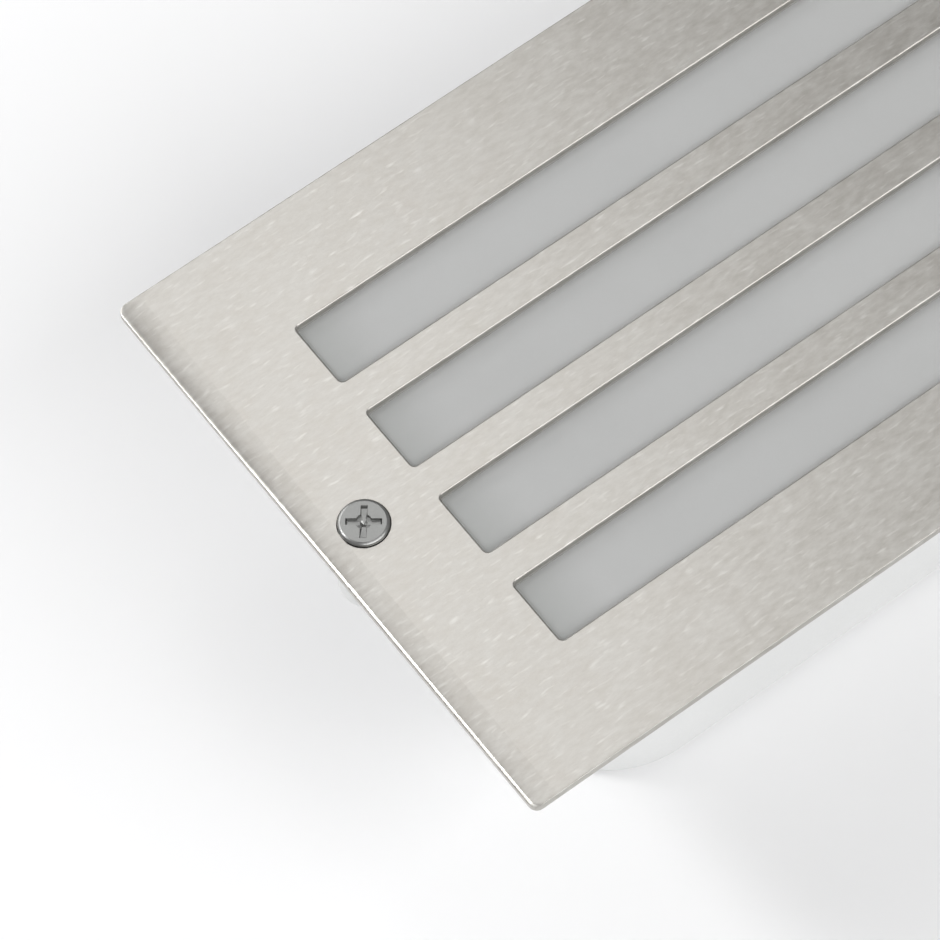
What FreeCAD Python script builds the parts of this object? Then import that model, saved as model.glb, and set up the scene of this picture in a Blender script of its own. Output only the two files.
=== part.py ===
"""Recessed step light: a slotted stainless face plate on a lamp insert that drops into a wall box.

The light lies on its back, as it does before it goes into the wall: +X along the face plate,
+Y across it, +Z out of the face.  The origin is the centre of the wall box's flat back.
From the face down: plate, lens, lamp tray rim, gasket, box flange.  The tray carries the light
board inside and the driver and terminals underneath, and two captive screws hold it in the box.
"""
import FreeCAD, Part
import math
import os
import re
import Sketcher

# Driving dimensions, mm and degrees.
DIMENSIONS = [
    # face plate: brushed sheet with four long slots
    ("plate_length", 250), ("plate_width", 105), ("plate_thickness", 1.5),
    ("plate_corner", 1.5), ("plate_edge", 0.4), ("total_height", 56),
    ("slot_count", 4), ("slot_width", 12), ("slot_pitch", 18.2),
    ("slot_end_margin", 19.35), ("slot_corner", 0.8),
    # weld studs behind the plate and their nuts
    ("stud_radius", 1.5), ("stud_length", 5), ("stud_spacing_x", 75), ("stud_spacing_y", 82.4),
    ("small_nut_flats", 5.5), ("small_nut_height", 2.4),
    # captive face screws
    ("screw_inset", 8), ("screw_radius", 2), ("screw_length", 16), ("screw_proud", 0.7),
    ("head_radius", 3.95), ("head_flat_radius", 3.55), ("head_chamfer", 0.3), ("head_rim", 0.25),
    ("recess_span", 5.2), ("recess_wing", 1), ("recess_depth", 2), ("recess_core", 1.35),
    ("screw_tip", 0.5), ("left_drive_angle", 52), ("right_drive_angle", 17),
    ("countersink_radius", 4.2), ("screw_seal_gap", 0.03), ("screw_seal_wall", 0.3),
    ("screw_seal_depth", 1), ("screw_seal_lip", 0.05),
    # lens and its seal
    ("lens_length", 217), ("lens_width", 72.4), ("lens_thickness", 3), ("lens_corner", 5),
    ("lens_clearance", 0.3), ("seal_thickness", 1), ("seal_width", 2.6),
    # lamp tray: rim, tapered tub and light chamber
    ("rim_length", 243), ("rim_width", 92), ("rim_thickness", 5.5), ("rim_corner", 7),
    ("tub_length", 211.2), ("tub_width", 69.2), ("tub_corner", 18), ("tray_wall", 1.6),
    ("tub_floor_length", 189.2), ("tub_floor_width", 43.2), ("tub_floor_corner", 9.6),
    ("tub_floor_height", 30), ("nut_pocket_radius", 3.6), ("nut_pocket_depth", 3),
    ("screw_clearance_radius", 2.7),
    # light board
    ("pad_thickness", 0.4), ("board_length", 164), ("board_width", 26), ("board_thickness", 1.6),
    ("led_columns", 12), ("led_pitch", 14), ("led_row_spacing", 14), ("led_length", 3.5),
    ("led_width", 2.8), ("led_height", 0.7), ("board_screw_pitch", 42), ("board_screw_count", 4),
    ("small_screw_radius", 1.5), ("small_head_radius", 2.75), ("small_head_height", 1.6),
    # lead grommet in the tray floor
    ("grommet_x", 88), ("grommet_bore", 3.4), ("grommet_neck", 4), ("grommet_flange", 4.8),
    ("grommet_lip", 0.9),
    # driver under the tray
    ("driver_length", 82), ("driver_width", 38), ("driver_depth", 17), ("driver_corner", 3),
    ("driver_x", -33), ("driver_lid_thickness", 2), ("driver_ear", 6), ("driver_edge", 1.5),
    ("driver_ear_width", 12),
    # terminal block under the tray
    ("block_x", 36), ("block_length", 32), ("block_width", 18), ("block_height", 13),
    ("pole_pitch", 10), ("pole_count", 3), ("tube_radius", 2.5), ("tube_bore", 1.6),
    ("tube_length", 14), ("clamp_screw_spacing", 9), ("clamp_screw_length", 3.5),
    ("block_gap", 2), ("block_foot_radius", 3.5),
    # earth tag
    ("earth_x", 68), ("earth_y", 14), ("tag_radius", 4), ("tag_thickness", 0.8),
    ("tag_barrel_radius", 1.5), ("tag_barrel_length", 6), ("tag_neck", 6),
    # leads
    ("lead_radius", 0.9), ("lead_fit", 0.05), ("lead_approach", 6),
    # box gasket
    ("gasket_thickness", 1.5), ("gasket_inset", 1), ("gasket_opening_length", 216),
    ("gasket_opening_width", 75), ("gasket_opening_corner", 20),
    # wall box: drafted tub, flange, bosses, cable entries
    ("box_length", 219), ("box_width", 78), ("box_corner", 22),
    ("box_back_length", 212), ("box_back_width", 72.6), ("box_back_corner", 19),
    ("box_wall", 2.5), ("box_floor", 2.5), ("flange_thickness", 3), ("box_back_edge", 1.5),
    ("boss_radius", 5), ("boss_depth", 6), ("boss_web", 3), ("boss_bore", 2.4),
    ("insert_radius", 3), ("insert_height", 6), ("insert_bore", 2.06), ("insert_groove", 2.7),
    ("gusset_count", 4), ("gusset_pitch", 50), ("gusset_thickness", 2.5), ("gusset_height", 15),
    ("gusset_reach", 45), ("gusset_root", 37), ("gusset_toe", 2),
    ("fixing_spacing", 170), ("fixing_slot_length", 10), ("fixing_slot_width", 4.5),
    ("fixing_pad_radius", 9), ("fixing_pad_height", 1.5),
    ("knockout_spacing", 70), ("knockout_radius", 10), ("knockout_groove", 0.8),
    ("knockout_depth", 1.2),
    ("entry_height", 24), ("entry_face", 109.5), ("entry_thickness", 5.2), ("entry_pad_radius", 13),
    ("entry_hole_radius", 8.1),
    # cable gland and blanking plug
    ("gland_thread_radius", 7.9), ("gland_thread_length", 10.5), ("gland_flats", 20),
    ("gland_hex_height", 5), ("gland_washer_thickness", 1), ("gland_washer_radius", 9.6),
    ("gland_bore", 5.2), ("gland_collar_radius", 7.5), ("gland_collar_length", 9),
    ("gland_cup_radius", 6.3), ("gland_cup_depth", 7), ("locknut_height", 4),
    ("seal_bore", 4), ("seal_radius", 6.1), ("seal_length", 8.7), ("seal_nose_radius", 5.4),
    ("seal_nose_length", 2.5), ("nut_bore", 7.7), ("nut_skirt", 6.5), ("nut_thread_length", 9),
    ("nut_cone_length", 3), ("nut_length", 13.5), ("nut_mouth", 5.2), ("nut_dome_radius", 9.4),
    ("nut_nose_radius", 7.4),
    ("plug_head_radius", 9.5), ("plug_head_height", 2.5), ("plug_length", 8),
    ("plug_hollow_radius", 6), ("plug_hollow_depth", 6), ("plug_slot_width", 2),
    ("plug_slot_length", 13), ("plug_slot_depth", 1.2),
]

# Levels above the back of the box, as formulas of the dimensions.
PLATE_BACK = "(total_height - plate_thickness)"
RIM_BACK = f"({PLATE_BACK} - rim_thickness)"
LEDGE = f"({PLATE_BACK} - lens_thickness - seal_thickness)"
BOX_TOP = f"({RIM_BACK} - gasket_thickness)"
FLANGE_BACK = f"({BOX_TOP} - flange_thickness)"
TRAY_FLOOR = "(tub_floor_height + tray_wall)"
BOARD_BACK = f"({TRAY_FLOOR} + pad_thickness)"
BOARD_TOP = f"({BOARD_BACK} + board_thickness)"
BLOCK_TOP = "(tub_floor_height - block_gap)"
POLE_HEIGHT = f"({BLOCK_TOP} - block_height / 2)"
SCREW_X = "(plate_length / 2 - screw_inset)"
STUD_START_X = "(0 - stud_spacing_x)"
STUD_START_Y = "(0 - stud_spacing_y / 2)"

doc = FreeCAD.newDocument("StepLight")
sheet = doc.addObject("Spreadsheet::Sheet", "Dims")
for row, (alias, number) in enumerate(DIMENSIONS, start=1):
    sheet.set(f"A{row}", alias)
    sheet.set(f"B{row}", str(number))
    sheet.setAlias(f"B{row}", alias)
doc.recompute()
ALIASES = {alias for alias, number in DIMENSIONS}

pieces = []


def formula(text):
    """The text with every dimension's name pointing at its cell."""
    return re.sub(r"[a-z]\w*", lambda m: f"Dims.{m.group()}" if m.group() in ALIASES else m.group(), text)


def bind(thing, prop, text):
    thing.setExpression(prop, formula(text))


def cell(alias):
    return float(getattr(sheet, alias))


class Piece:
    """One separate solid of the light, or a group of like ones, as a body with its own origin."""

    def __init__(self, label, x="0", y="0", z="0", tilt=None, spin=None):
        self.body = doc.addObject("PartDesign::Body", label)
        self.body.Label = label
        self.body.AllowCompound = True
        if tilt is not None:
            self.body.Placement.Rotation = FreeCAD.Rotation(FreeCAD.Vector(0, 1, 0), tilt)
        if spin is not None:
            bind(self.body, "Placement.Rotation.Angle", spin)
        for axis, place in zip("xyz", (x, y, z)):
            bind(self.body, f"Placement.Base.{axis}", place)
        self.made = 0
        pieces.append(self.body)

    def feature(self, kind, name):
        self.made += 1
        return self.body.newObject(kind, f"{self.body.Name}_{name}{self.made}")

    def origin_plane(self, role):
        return next(o for o in self.body.Origin.OriginFeatures if o.Role == role)

    def sketch(self, name, plane="XY_Plane", level="0", x="0", y="0"):
        sketch = self.feature("Sketcher::SketchObject", name)
        sketch.AttachmentSupport = (self.origin_plane(plane), [""])
        sketch.MapMode = "FlatFace"
        for axis, place in zip("xyz", (x, y, level)):
            bind(sketch, f"AttachmentOffset.Base.{axis}", place)
        return sketch

    # outlines

    def rectangle(self, length, width, corner=None, **where):
        """A rectangle about the sketch's origin, its corners round if a corner radius is given."""
        sketch = self.sketch("rectangle", **where)
        if corner is None:
            corners = [(-2, -1), (2, -1), (2, 1), (-2, 1)]
            draw_polygon(sketch, corners)
            sketch.addConstraint([Sketcher.Constraint("Horizontal", 0), Sketcher.Constraint("Horizontal", 2),
                                  Sketcher.Constraint("Vertical", 1), Sketcher.Constraint("Vertical", 3),
                                  Sketcher.Constraint("Symmetric", 0, 1, 2, 1, -1, 1)])
            measure(sketch, "DistanceX", (0, 1, 0, 2), 4.0, length)
            measure(sketch, "DistanceY", (1, 1, 1, 2), 2.0, width)
            return sketch
        draw_round_rectangle(sketch)
        measure(sketch, "DistanceX", (6, 1, 2, 1), 10.0, length)
        measure(sketch, "DistanceY", (0, 1, 4, 1), 8.0, width)
        measure(sketch, "Radius", (1,), 2.0, corner)
        return sketch

    def circle(self, *radii, **where):
        """Circles about the sketch's origin, one inside the other."""
        sketch = self.sketch("circle", **where)
        for index, radius in enumerate(radii):
            start = 4.0 / (index + 1)
            sketch.addGeometry(Part.Circle(FreeCAD.Vector(), FreeCAD.Vector(0, 0, 1), start), False)
            sketch.addConstraint(Sketcher.Constraint("Coincident", index, 3, -1, 1))
            measure(sketch, "Radius", (index,), start, radius)
        return sketch

    def hexagon(self, flats, bore=None, **where):
        """A regular hexagon, flat side up, with an optional round hole."""
        sketch = self.sketch("hexagon", **where)
        corners = [(math.cos(math.radians(a)), math.sin(math.radians(a))) for a in range(0, 360, 60)]
        draw_polygon(sketch, corners)
        guide = sketch.addGeometry(Part.Circle(FreeCAD.Vector(), FreeCAD.Vector(0, 0, 1), 1.0), True)
        sketch.addConstraint(Sketcher.Constraint("Coincident", guide, 3, -1, 1))
        sketch.addConstraint([Sketcher.Constraint("PointOnObject", side, 1, guide) for side in range(6)])
        sketch.addConstraint([Sketcher.Constraint("Equal", side, side + 1) for side in range(5)])
        sketch.addConstraint(Sketcher.Constraint("Horizontal", 1))
        measure(sketch, "Radius", (guide,), 1.0, f"({flats}) / sqrt(3)")
        if bore is not None:
            hole = sketch.addGeometry(Part.Circle(FreeCAD.Vector(), FreeCAD.Vector(0, 0, 1), 0.4), False)
            sketch.addConstraint(Sketcher.Constraint("Coincident", hole, 3, -1, 1))
            measure(sketch, "Radius", (hole,), 0.4, bore)
        return sketch

    def slot(self, length, width, **where):
        """A slot with half-round ends along the sketch's X axis."""
        sketch = self.sketch("slot", **where)
        up = FreeCAD.Vector(0, 0, 1)
        right = Part.Circle(FreeCAD.Vector(2, 0, 0), up, 1)
        left = Part.Circle(FreeCAD.Vector(-2, 0, 0), up, 1)
        sketch.addGeometry([
            Part.LineSegment(FreeCAD.Vector(-2, -1, 0), FreeCAD.Vector(2, -1, 0)),
            Part.ArcOfCircle(right, -math.pi / 2, math.pi / 2),
            Part.LineSegment(FreeCAD.Vector(2, 1, 0), FreeCAD.Vector(-2, 1, 0)),
            Part.ArcOfCircle(left, math.pi / 2, 3 * math.pi / 2)], False)
        sketch.addConstraint([Sketcher.Constraint("Tangent", i, 2, (i + 1) % 4, 1) for i in range(4)])
        sketch.addConstraint([Sketcher.Constraint("Horizontal", 0), Sketcher.Constraint("Equal", 1, 3),
                              Sketcher.Constraint("Symmetric", 1, 3, 3, 3, -1, 1)])
        measure(sketch, "Radius", (1,), 1.0, f"({width}) / 2")
        measure(sketch, "DistanceX", (3, 3, 1, 3), 4.0, f"({length}) - ({width})")
        return sketch

    def outline(self, points, **where):
        """A closed outline through points given by two formulas each, from the sketch's origin."""
        sketch = self.sketch("outline", **where)
        count = len(points)
        turn = [2 * math.pi * i / count for i in range(count)]
        draw_polygon(sketch, [(8 + 3 * math.cos(a), 3 * math.sin(a)) for a in turn])
        for corner, (across, along) in enumerate(points):
            for axis, kind, text in ((-2, "DistanceX", across), (-1, "DistanceY", along)):
                if text == "0":
                    sketch.addConstraint(Sketcher.Constraint("PointOnObject", corner, 1, axis))
                else:
                    measure(sketch, kind, (-1, 1, corner, 1), 1.0, text)
        return sketch

    # solids

    def pad(self, sketch, length, down=False, middle=False):
        pad = self.feature("PartDesign::Pad", "pad")
        pad.Profile = sketch
        bind(pad, "Length", length)
        pad.Reversed = down
        pad.Midplane = middle
        return pad

    def pocket(self, sketch, depth, up=False, middle=False):
        """A cut that goes against the sketch's normal, or along it with up."""
        pocket = self.feature("PartDesign::Pocket", "pocket")
        pocket.Profile = sketch
        bind(pocket, "Length", depth)
        pocket.Reversed = up
        pocket.Midplane = middle
        return pocket

    def loft(self, first, *others, cut=False):
        """Straight walls through two or more outlines, as a solid or as a cut."""
        loft = self.feature("PartDesign::SubtractiveLoft" if cut else "PartDesign::AdditiveLoft", "loft")
        loft.Profile = first
        loft.Sections = list(others)
        loft.Ruled = True
        return loft

    def revolve(self, sketch, cut=False):
        turned = self.feature("PartDesign::Groove" if cut else "PartDesign::Revolution", "turned")
        turned.Profile = sketch
        turned.ReferenceAxis = (sketch, ["V_Axis"])
        turned.Angle = 360
        return turned

    def row(self, feature, count, length, axis="H_Axis", second=None):
        """Copies of a feature in a row, or in a grid if second gives a count and a length."""
        sketch = feature.Profile[0]
        pattern = self.feature("PartDesign::LinearPattern", "row")
        pattern.Originals = [feature]
        pattern.Direction = (sketch, [axis])
        bind(pattern, "Occurrences", count)
        bind(pattern, "Length", length)
        if second is not None:
            pattern.Direction2 = (sketch, ["V_Axis"])
            bind(pattern, "Occurrences2", second[0])
            bind(pattern, "Length2", second[1])
        self.body.Tip = pattern
        return pattern

    def mirror(self, features, plane):
        mirrored = self.feature("PartDesign::Mirrored", "mirrored")
        mirrored.Originals = features
        mirrored.MirrorPlane = (self.origin_plane(plane), [""])
        self.body.Tip = mirrored
        return mirrored

    def round_edges(self, radius, wanted):
        """Round the edges of the piece so far for which wanted(edge) is true."""
        doc.recompute()
        base = self.body.Tip
        names = [f"Edge{i}" for i, edge in enumerate(base.Shape.Edges, start=1) if wanted(edge)]
        fillet = self.feature("PartDesign::Fillet", "fillet")
        fillet.Base = (base, names)
        bind(fillet, "Radius", radius)
        return fillet


def measure(sketch, kind, elements, start, text):
    """Add a dimension to a sketch and bind it to a formula."""
    index = sketch.addConstraint(Sketcher.Constraint(kind, *elements, start))
    name = f"size{index}"
    sketch.renameConstraint(index, name)
    bind(sketch, f"Constraints.{name}", text)


def draw_polygon(sketch, corners):
    points = [FreeCAD.Vector(x, y, 0) for x, y in corners]
    sides = [Part.LineSegment(a, b) for a, b in zip(points, points[1:] + points[:1])]
    sketch.addGeometry(sides, False)
    count = len(sides)
    sketch.addConstraint([Sketcher.Constraint("Coincident", i, 2, (i + 1) % count, 1) for i in range(count)])


def draw_round_rectangle(sketch, half_x=5, half_y=4, radius=2):
    """Four lines and four equal arcs, tangent all round, centred on the sketch's origin."""
    edges = []
    for quarter in range(4):
        start = math.pi / 2 * (quarter - 1)
        side_x = 1 if quarter in (0, 1) else -1
        side_y = 1 if quarter in (1, 2) else -1
        centre = FreeCAD.Vector(side_x * (half_x - radius), side_y * (half_y - radius), 0)
        circle = Part.Circle(centre, FreeCAD.Vector(0, 0, 1), radius)
        edges.append(Part.ArcOfCircle(circle, start, start + math.pi / 2))
    for quarter in range(4):
        after = edges[2 * quarter]
        before = edges[2 * quarter - 1] if quarter else edges[-1]
        edges.insert(2 * quarter, Part.LineSegment(before.EndPoint, after.StartPoint))
    sketch.addGeometry(edges, False)
    rules = [Sketcher.Constraint("Tangent", i, 2, (i + 1) % 8, 1) for i in range(8)]
    rules += [Sketcher.Constraint("Horizontal", 0), Sketcher.Constraint("Horizontal", 4)]
    rules += [Sketcher.Constraint("Vertical", 2), Sketcher.Constraint("Vertical", 6)]
    rules += [Sketcher.Constraint("Equal", i, i + 2) for i in (1, 3, 5)]
    rules += [Sketcher.Constraint("Symmetric", 1, 3, 5, 3, -1, 1)]
    sketch.addConstraint(rules)


def lies_at(height):
    """A test for edges that lie flat at a height in the piece's own frame."""
    return lambda edge: all(abs(v.Point.z - height) < 1e-6 for v in edge.Vertexes)


def face_plate():
    """Slotted sheet with rolled edges, countersunk at both ends, with weld studs behind."""
    plate = Piece("face_plate")
    plate.pad(plate.rectangle("plate_length", "plate_width", "plate_corner", level=PLATE_BACK),
              "plate_thickness")
    plate.round_edges("plate_edge", lies_at(cell("total_height")))
    slot = plate.pocket(
        plate.rectangle("plate_length - 2 * slot_end_margin", "slot_width", "slot_corner",
                        level="total_height", y="0 - slot_pitch * (slot_count - 1) / 2"),
        "plate_thickness")
    plate.row(slot, "slot_count", "slot_pitch * (slot_count - 1)", "V_Axis")
    countersink = plate.revolve(
        plate.outline([("0", "total_height"), ("countersink_radius", "total_height"),
                       ("countersink_radius - plate_thickness", PLATE_BACK), ("0", PLATE_BACK)],
                      plane="XZ_Plane", x=SCREW_X), cut=True)
    plate.mirror([countersink], "YZ_Plane")
    stud = plate.pad(plate.circle("stud_radius", level=PLATE_BACK, x=STUD_START_X, y=STUD_START_Y),
                     "stud_length", down=True)
    plate.row(stud, "3", "2 * stud_spacing_x", second=("2", "stud_spacing_y"))


def stud_nuts():
    """Hexagon nuts that pull the tray rim up to the plate."""
    nuts = Piece("stud_nuts")
    nut = nuts.pad(
        nuts.hexagon("small_nut_flats", "stud_radius", x=STUD_START_X, y=STUD_START_Y,
                     level=f"{RIM_BACK} + nut_pocket_depth - small_nut_height"),
        "small_nut_height")
    nuts.row(nut, "3", "2 * stud_spacing_x", second=("2", "stud_spacing_y"))


def face_screw(side, x, angle):
    """Countersunk screw with a cross recess; its flat head stands a little above the plate."""
    screw = Piece(f"{side}_face_screw", x=x, z="total_height", spin=angle)
    cone_top = "(screw_proud - head_chamfer - head_rim)"
    tip = "(screw_proud - screw_length)"
    screw.revolve(screw.outline([
        ("0", "screw_proud"), ("head_flat_radius", "screw_proud"),
        ("head_radius", "screw_proud - head_chamfer"), ("head_radius", cone_top),
        ("screw_radius", f"{cone_top} - (head_radius - screw_radius)"),
        ("screw_radius", f"{tip} + screw_tip"), ("screw_radius - screw_tip", tip), ("0", tip)],
        plane="XZ_Plane"))
    half, wing, bottom = "(recess_span / 2)", "(recess_wing / 2)", "(screw_proud - recess_depth)"
    for turned in (False, True):
        points = [(f"0 - {half}", "screw_proud"), (half, "screw_proud"),
                  ("recess_core / 2", bottom), ("0 - recess_core / 2", bottom)]
        plane = "YZ_Plane" if turned else "XZ_Plane"
        screw.pocket(screw.outline(points, plane=plane), "recess_wing", middle=True)
    screw.revolve(screw.outline([("0", "screw_proud"), ("recess_core", "screw_proud"),
                                 ("recess_core / 2", bottom), ("0", f"{bottom} - recess_core / 2")],
                                plane="XZ_Plane"), cut=True)


def screw_seal(side, x):
    """Thin black cone of rubber between the screw's head and the countersink."""
    seal = Piece(f"{side}_screw_seal", x=x, z="total_height")
    # the head's cone has this radius at the level of the plate's face
    cone = "(head_radius - (screw_proud - head_chamfer - head_rim) + screw_seal_gap)"
    low, high = "(0 - screw_seal_depth)", "screw_seal_lip"
    seal.revolve(seal.outline([(f"{cone} + {low}", low), (f"{cone} + {low} + screw_seal_wall", low),
                               (f"{cone} + {high} + screw_seal_wall", high), (f"{cone} + {high}", high)],
                              plane="XZ_Plane"))


def lens():
    """Frosted panel behind the slots."""
    panel = Piece("lens")
    panel.pad(panel.rectangle("lens_length", "lens_width", "lens_corner", level=PLATE_BACK),
              "lens_thickness", down=True)


def lens_seal():
    """Flat silicone frame between the lens and the ledge of the tray."""
    seal = Piece("lens_seal")
    seal.pad(seal.rectangle("lens_length", "lens_width", "lens_corner", level=LEDGE), "seal_thickness")
    seal.pocket(seal.rectangle("lens_length - 2 * seal_width", "lens_width - 2 * seal_width",
                               "lens_corner - seal_width", level=f"{LEDGE} + seal_thickness"),
                "seal_thickness")


def lamp_tray():
    """White moulded tray: a rim with a rebate for the lens over a tapered light chamber."""
    tray = Piece("lamp_tray")
    tray.loft(tray.rectangle("tub_floor_length", "tub_floor_width", "tub_floor_corner",
                             level="tub_floor_height"),
              tray.rectangle("tub_length", "tub_width", "tub_corner", level=RIM_BACK))
    tray.pad(tray.rectangle("rim_length", "rim_width", "rim_corner", level=RIM_BACK), "rim_thickness")
    tray.loft(tray.rectangle("tub_length - 2 * tray_wall", "tub_width - 2 * tray_wall",
                             "tub_corner - tray_wall", level=LEDGE),
              tray.rectangle("tub_floor_length - 2 * tray_wall", "tub_floor_width - 2 * tray_wall",
                             "tub_floor_corner - tray_wall", level=TRAY_FLOOR), cut=True)
    tray.pocket(tray.rectangle("lens_length + 2 * lens_clearance", "lens_width + 2 * lens_clearance",
                               "lens_corner + lens_clearance", level=PLATE_BACK),
                "lens_thickness + seal_thickness")
    corner = {"x": STUD_START_X, "y": STUD_START_Y}
    for cut in (tray.pocket(tray.circle("nut_pocket_radius", level=RIM_BACK, **corner),
                            "nut_pocket_depth", up=True),
                tray.pocket(tray.circle("stud_radius + 0.1", level=PLATE_BACK, **corner), "rim_thickness")):
        tray.row(cut, "3", "2 * stud_spacing_x", second=("2", "stud_spacing_y"))
    passage = tray.pocket(tray.circle("screw_clearance_radius", level=PLATE_BACK, x=SCREW_X),
                          "rim_thickness")
    tray.mirror([passage], "YZ_Plane")
    # holes in the floor for the board, driver, terminal and earth screws and the lead grommet
    board_hole = tray.pocket(
        tray.circle("small_screw_radius", level=TRAY_FLOOR,
                    x="0 - board_screw_pitch * (board_screw_count - 1) / 2"), "tray_wall")
    tray.row(board_hole, "board_screw_count", "board_screw_pitch * (board_screw_count - 1)")
    driver_hole = tray.pocket(
        tray.circle("small_screw_radius", level=TRAY_FLOOR,
                    x="driver_x - driver_length / 2 - driver_ear / 2"), "tray_wall")
    tray.row(driver_hole, "2", "driver_length + driver_ear")
    for x, y, radius in (("0 - grommet_x", "0", "grommet_neck"),
                         ("block_x + pole_pitch / 2", "0", "small_screw_radius"),
                         ("earth_x", "0 - earth_y", "small_screw_radius")):
        tray.pocket(tray.circle(radius, level=TRAY_FLOOR, x=x, y=y), "tray_wall")


def light_board():
    """Aluminium board on a heat pad, with two rows of light-emitting packages and its screws."""
    pad = Piece("thermal_pad")
    pad.pad(pad.rectangle("board_length", "board_width", level=TRAY_FLOOR), "pad_thickness")
    board = Piece("led_board")
    board.pad(board.rectangle("board_length", "board_width", level=BOARD_BACK), "board_thickness")
    start = "0 - board_screw_pitch * (board_screw_count - 1) / 2"
    for piece, top in ((pad, BOARD_BACK), (board, BOARD_TOP)):
        hole = piece.pocket(piece.circle("small_screw_radius", level=top, x=start), "board_thickness")
        piece.row(hole, "board_screw_count", "board_screw_pitch * (board_screw_count - 1)")
    packages = Piece("led_packages")
    package = packages.pad(
        packages.rectangle("led_length", "led_width", level=BOARD_TOP,
                           x="0 - led_pitch * (led_columns - 1) / 2", y="0 - led_row_spacing / 2"),
        "led_height")
    packages.row(package, "led_columns", "led_pitch * (led_columns - 1)", second=("2", "led_row_spacing"))
    screws = Piece("led_board_screws")
    screw = screws.revolve(screws.outline(
        pan_head_screw(BOARD_TOP, "tub_floor_height + 0.1"), plane="XZ_Plane", x=start))
    screws.row(screw, "board_screw_count", "board_screw_pitch * (board_screw_count - 1)")


def pan_head_screw(seat, tip, hanging=False):
    """Half section of a small pan head screw; hanging puts its head below its seat."""
    lift = "- small_head_height" if hanging else "+ small_head_height"
    break_edge = "+ 0.5" if hanging else "- 0.5"
    crown = f"{seat} {lift}"
    return [("0", crown), ("small_head_radius - 0.6", crown),
            ("small_head_radius", f"{crown} {break_edge}"), ("small_head_radius", seat),
            ("small_screw_radius", seat), ("small_screw_radius", tip), ("0", tip)]


def lead_grommet():
    """Rubber ring, lipped on both sides of the tray floor, that the two output leads pass."""
    ring = Piece("lead_grommet", x="0 - grommet_x")
    low, high = "tub_floor_height", TRAY_FLOOR
    ring.revolve(ring.outline([
        ("grommet_bore", f"{low} - grommet_lip"), ("grommet_flange", f"{low} - grommet_lip"),
        ("grommet_flange", low), ("grommet_neck", low), ("grommet_neck", high),
        ("grommet_flange", high), ("grommet_flange", f"{high} + grommet_lip"),
        ("grommet_bore", f"{high} + grommet_lip")], plane="XZ_Plane"))


def driver():
    """Potted driver under the tray: case, lid against the tray, and a screw through each ear."""
    lid_back = "(tub_floor_height - driver_lid_thickness)"
    lid = Piece("driver_lid", x="driver_x")
    lid.pad(lid.rectangle("driver_length", "driver_width", "driver_corner", level=lid_back),
            "driver_lid_thickness")
    lid.pad(lid.rectangle("driver_length + 2 * driver_ear", "driver_ear_width", "driver_corner",
                          level=lid_back), "driver_lid_thickness")
    hole = lid.pocket(lid.circle("small_screw_radius + 0.1", level="tub_floor_height",
                                 x="0 - (driver_length + driver_ear) / 2"), "driver_lid_thickness")
    lid.row(hole, "2", "driver_length + driver_ear")
    case = Piece("driver_case", x="driver_x")
    case.pad(case.rectangle("driver_length", "driver_width", "driver_corner", level=lid_back),
             "driver_depth", down=True)
    case.round_edges("driver_edge", lies_at(
        cell("tub_floor_height") - cell("driver_lid_thickness") - cell("driver_depth")))
    screws = Piece("driver_screws", x="driver_x")
    screw = screws.revolve(screws.outline(
        pan_head_screw(lid_back, f"{TRAY_FLOOR} - 0.2", hanging=True),
        plane="XZ_Plane", x="0 - (driver_length + driver_ear) / 2"))
    screws.row(screw, "2", "driver_length + driver_ear")


def terminals():
    """Three-pole terminal strip under the tray, with brass tubes and two clamp screws a pole."""
    first_pole = "0 - pole_pitch * (pole_count - 1) / 2"
    spread = "pole_pitch * (pole_count - 1)"
    block = Piece("terminal_block", x="block_x")
    block.pad(block.rectangle("block_length", "block_width", "1", level=BLOCK_TOP),
              "block_height", down=True)
    # a foot between two poles stands on the tray round the fixing screw
    block.pad(block.circle("block_foot_radius", level=BLOCK_TOP, x="pole_pitch / 2"), "block_gap")
    block.pocket(block.circle("small_screw_radius + 0.1", level="tub_floor_height", x="pole_pitch / 2"),
                 "block_height + block_gap")
    bore = block.pocket(block.circle("tube_radius", plane="XZ_Plane", x=first_pole, y=POLE_HEIGHT),
                        "block_width", middle=True)
    block.row(bore, "pole_count", spread)
    shaft = block.pocket(
        block.circle("small_screw_radius + 0.1", x=first_pole, y="0 - clamp_screw_spacing / 2",
                     level=f"{BLOCK_TOP} - block_height"), "block_height / 2", up=True)
    block.row(shaft, "pole_count", spread, second=("2", "clamp_screw_spacing"))
    tubes = Piece("terminal_tubes", x="block_x")
    tube = tubes.pad(tubes.circle("tube_radius", "tube_bore", plane="XZ_Plane", x=first_pole,
                                  y=POLE_HEIGHT), "tube_length", middle=True)
    tubes.row(tube, "pole_count", spread)
    clamps = Piece("terminal_screws", x="block_x")
    clamp = clamps.pad(
        clamps.circle("small_screw_radius", x=first_pole, y="0 - clamp_screw_spacing / 2",
                      level=f"{POLE_HEIGHT} - tube_radius"), "clamp_screw_length", down=True)
    clamps.row(clamp, "pole_count", spread, second=("2", "clamp_screw_spacing"))
    screw = Piece("terminal_block_screw", x="block_x + pole_pitch / 2")
    screw.revolve(screw.outline(
        pan_head_screw(f"({BLOCK_TOP} - block_height)", f"{TRAY_FLOOR} - 0.2", hanging=True),
        plane="XZ_Plane"))


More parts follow.
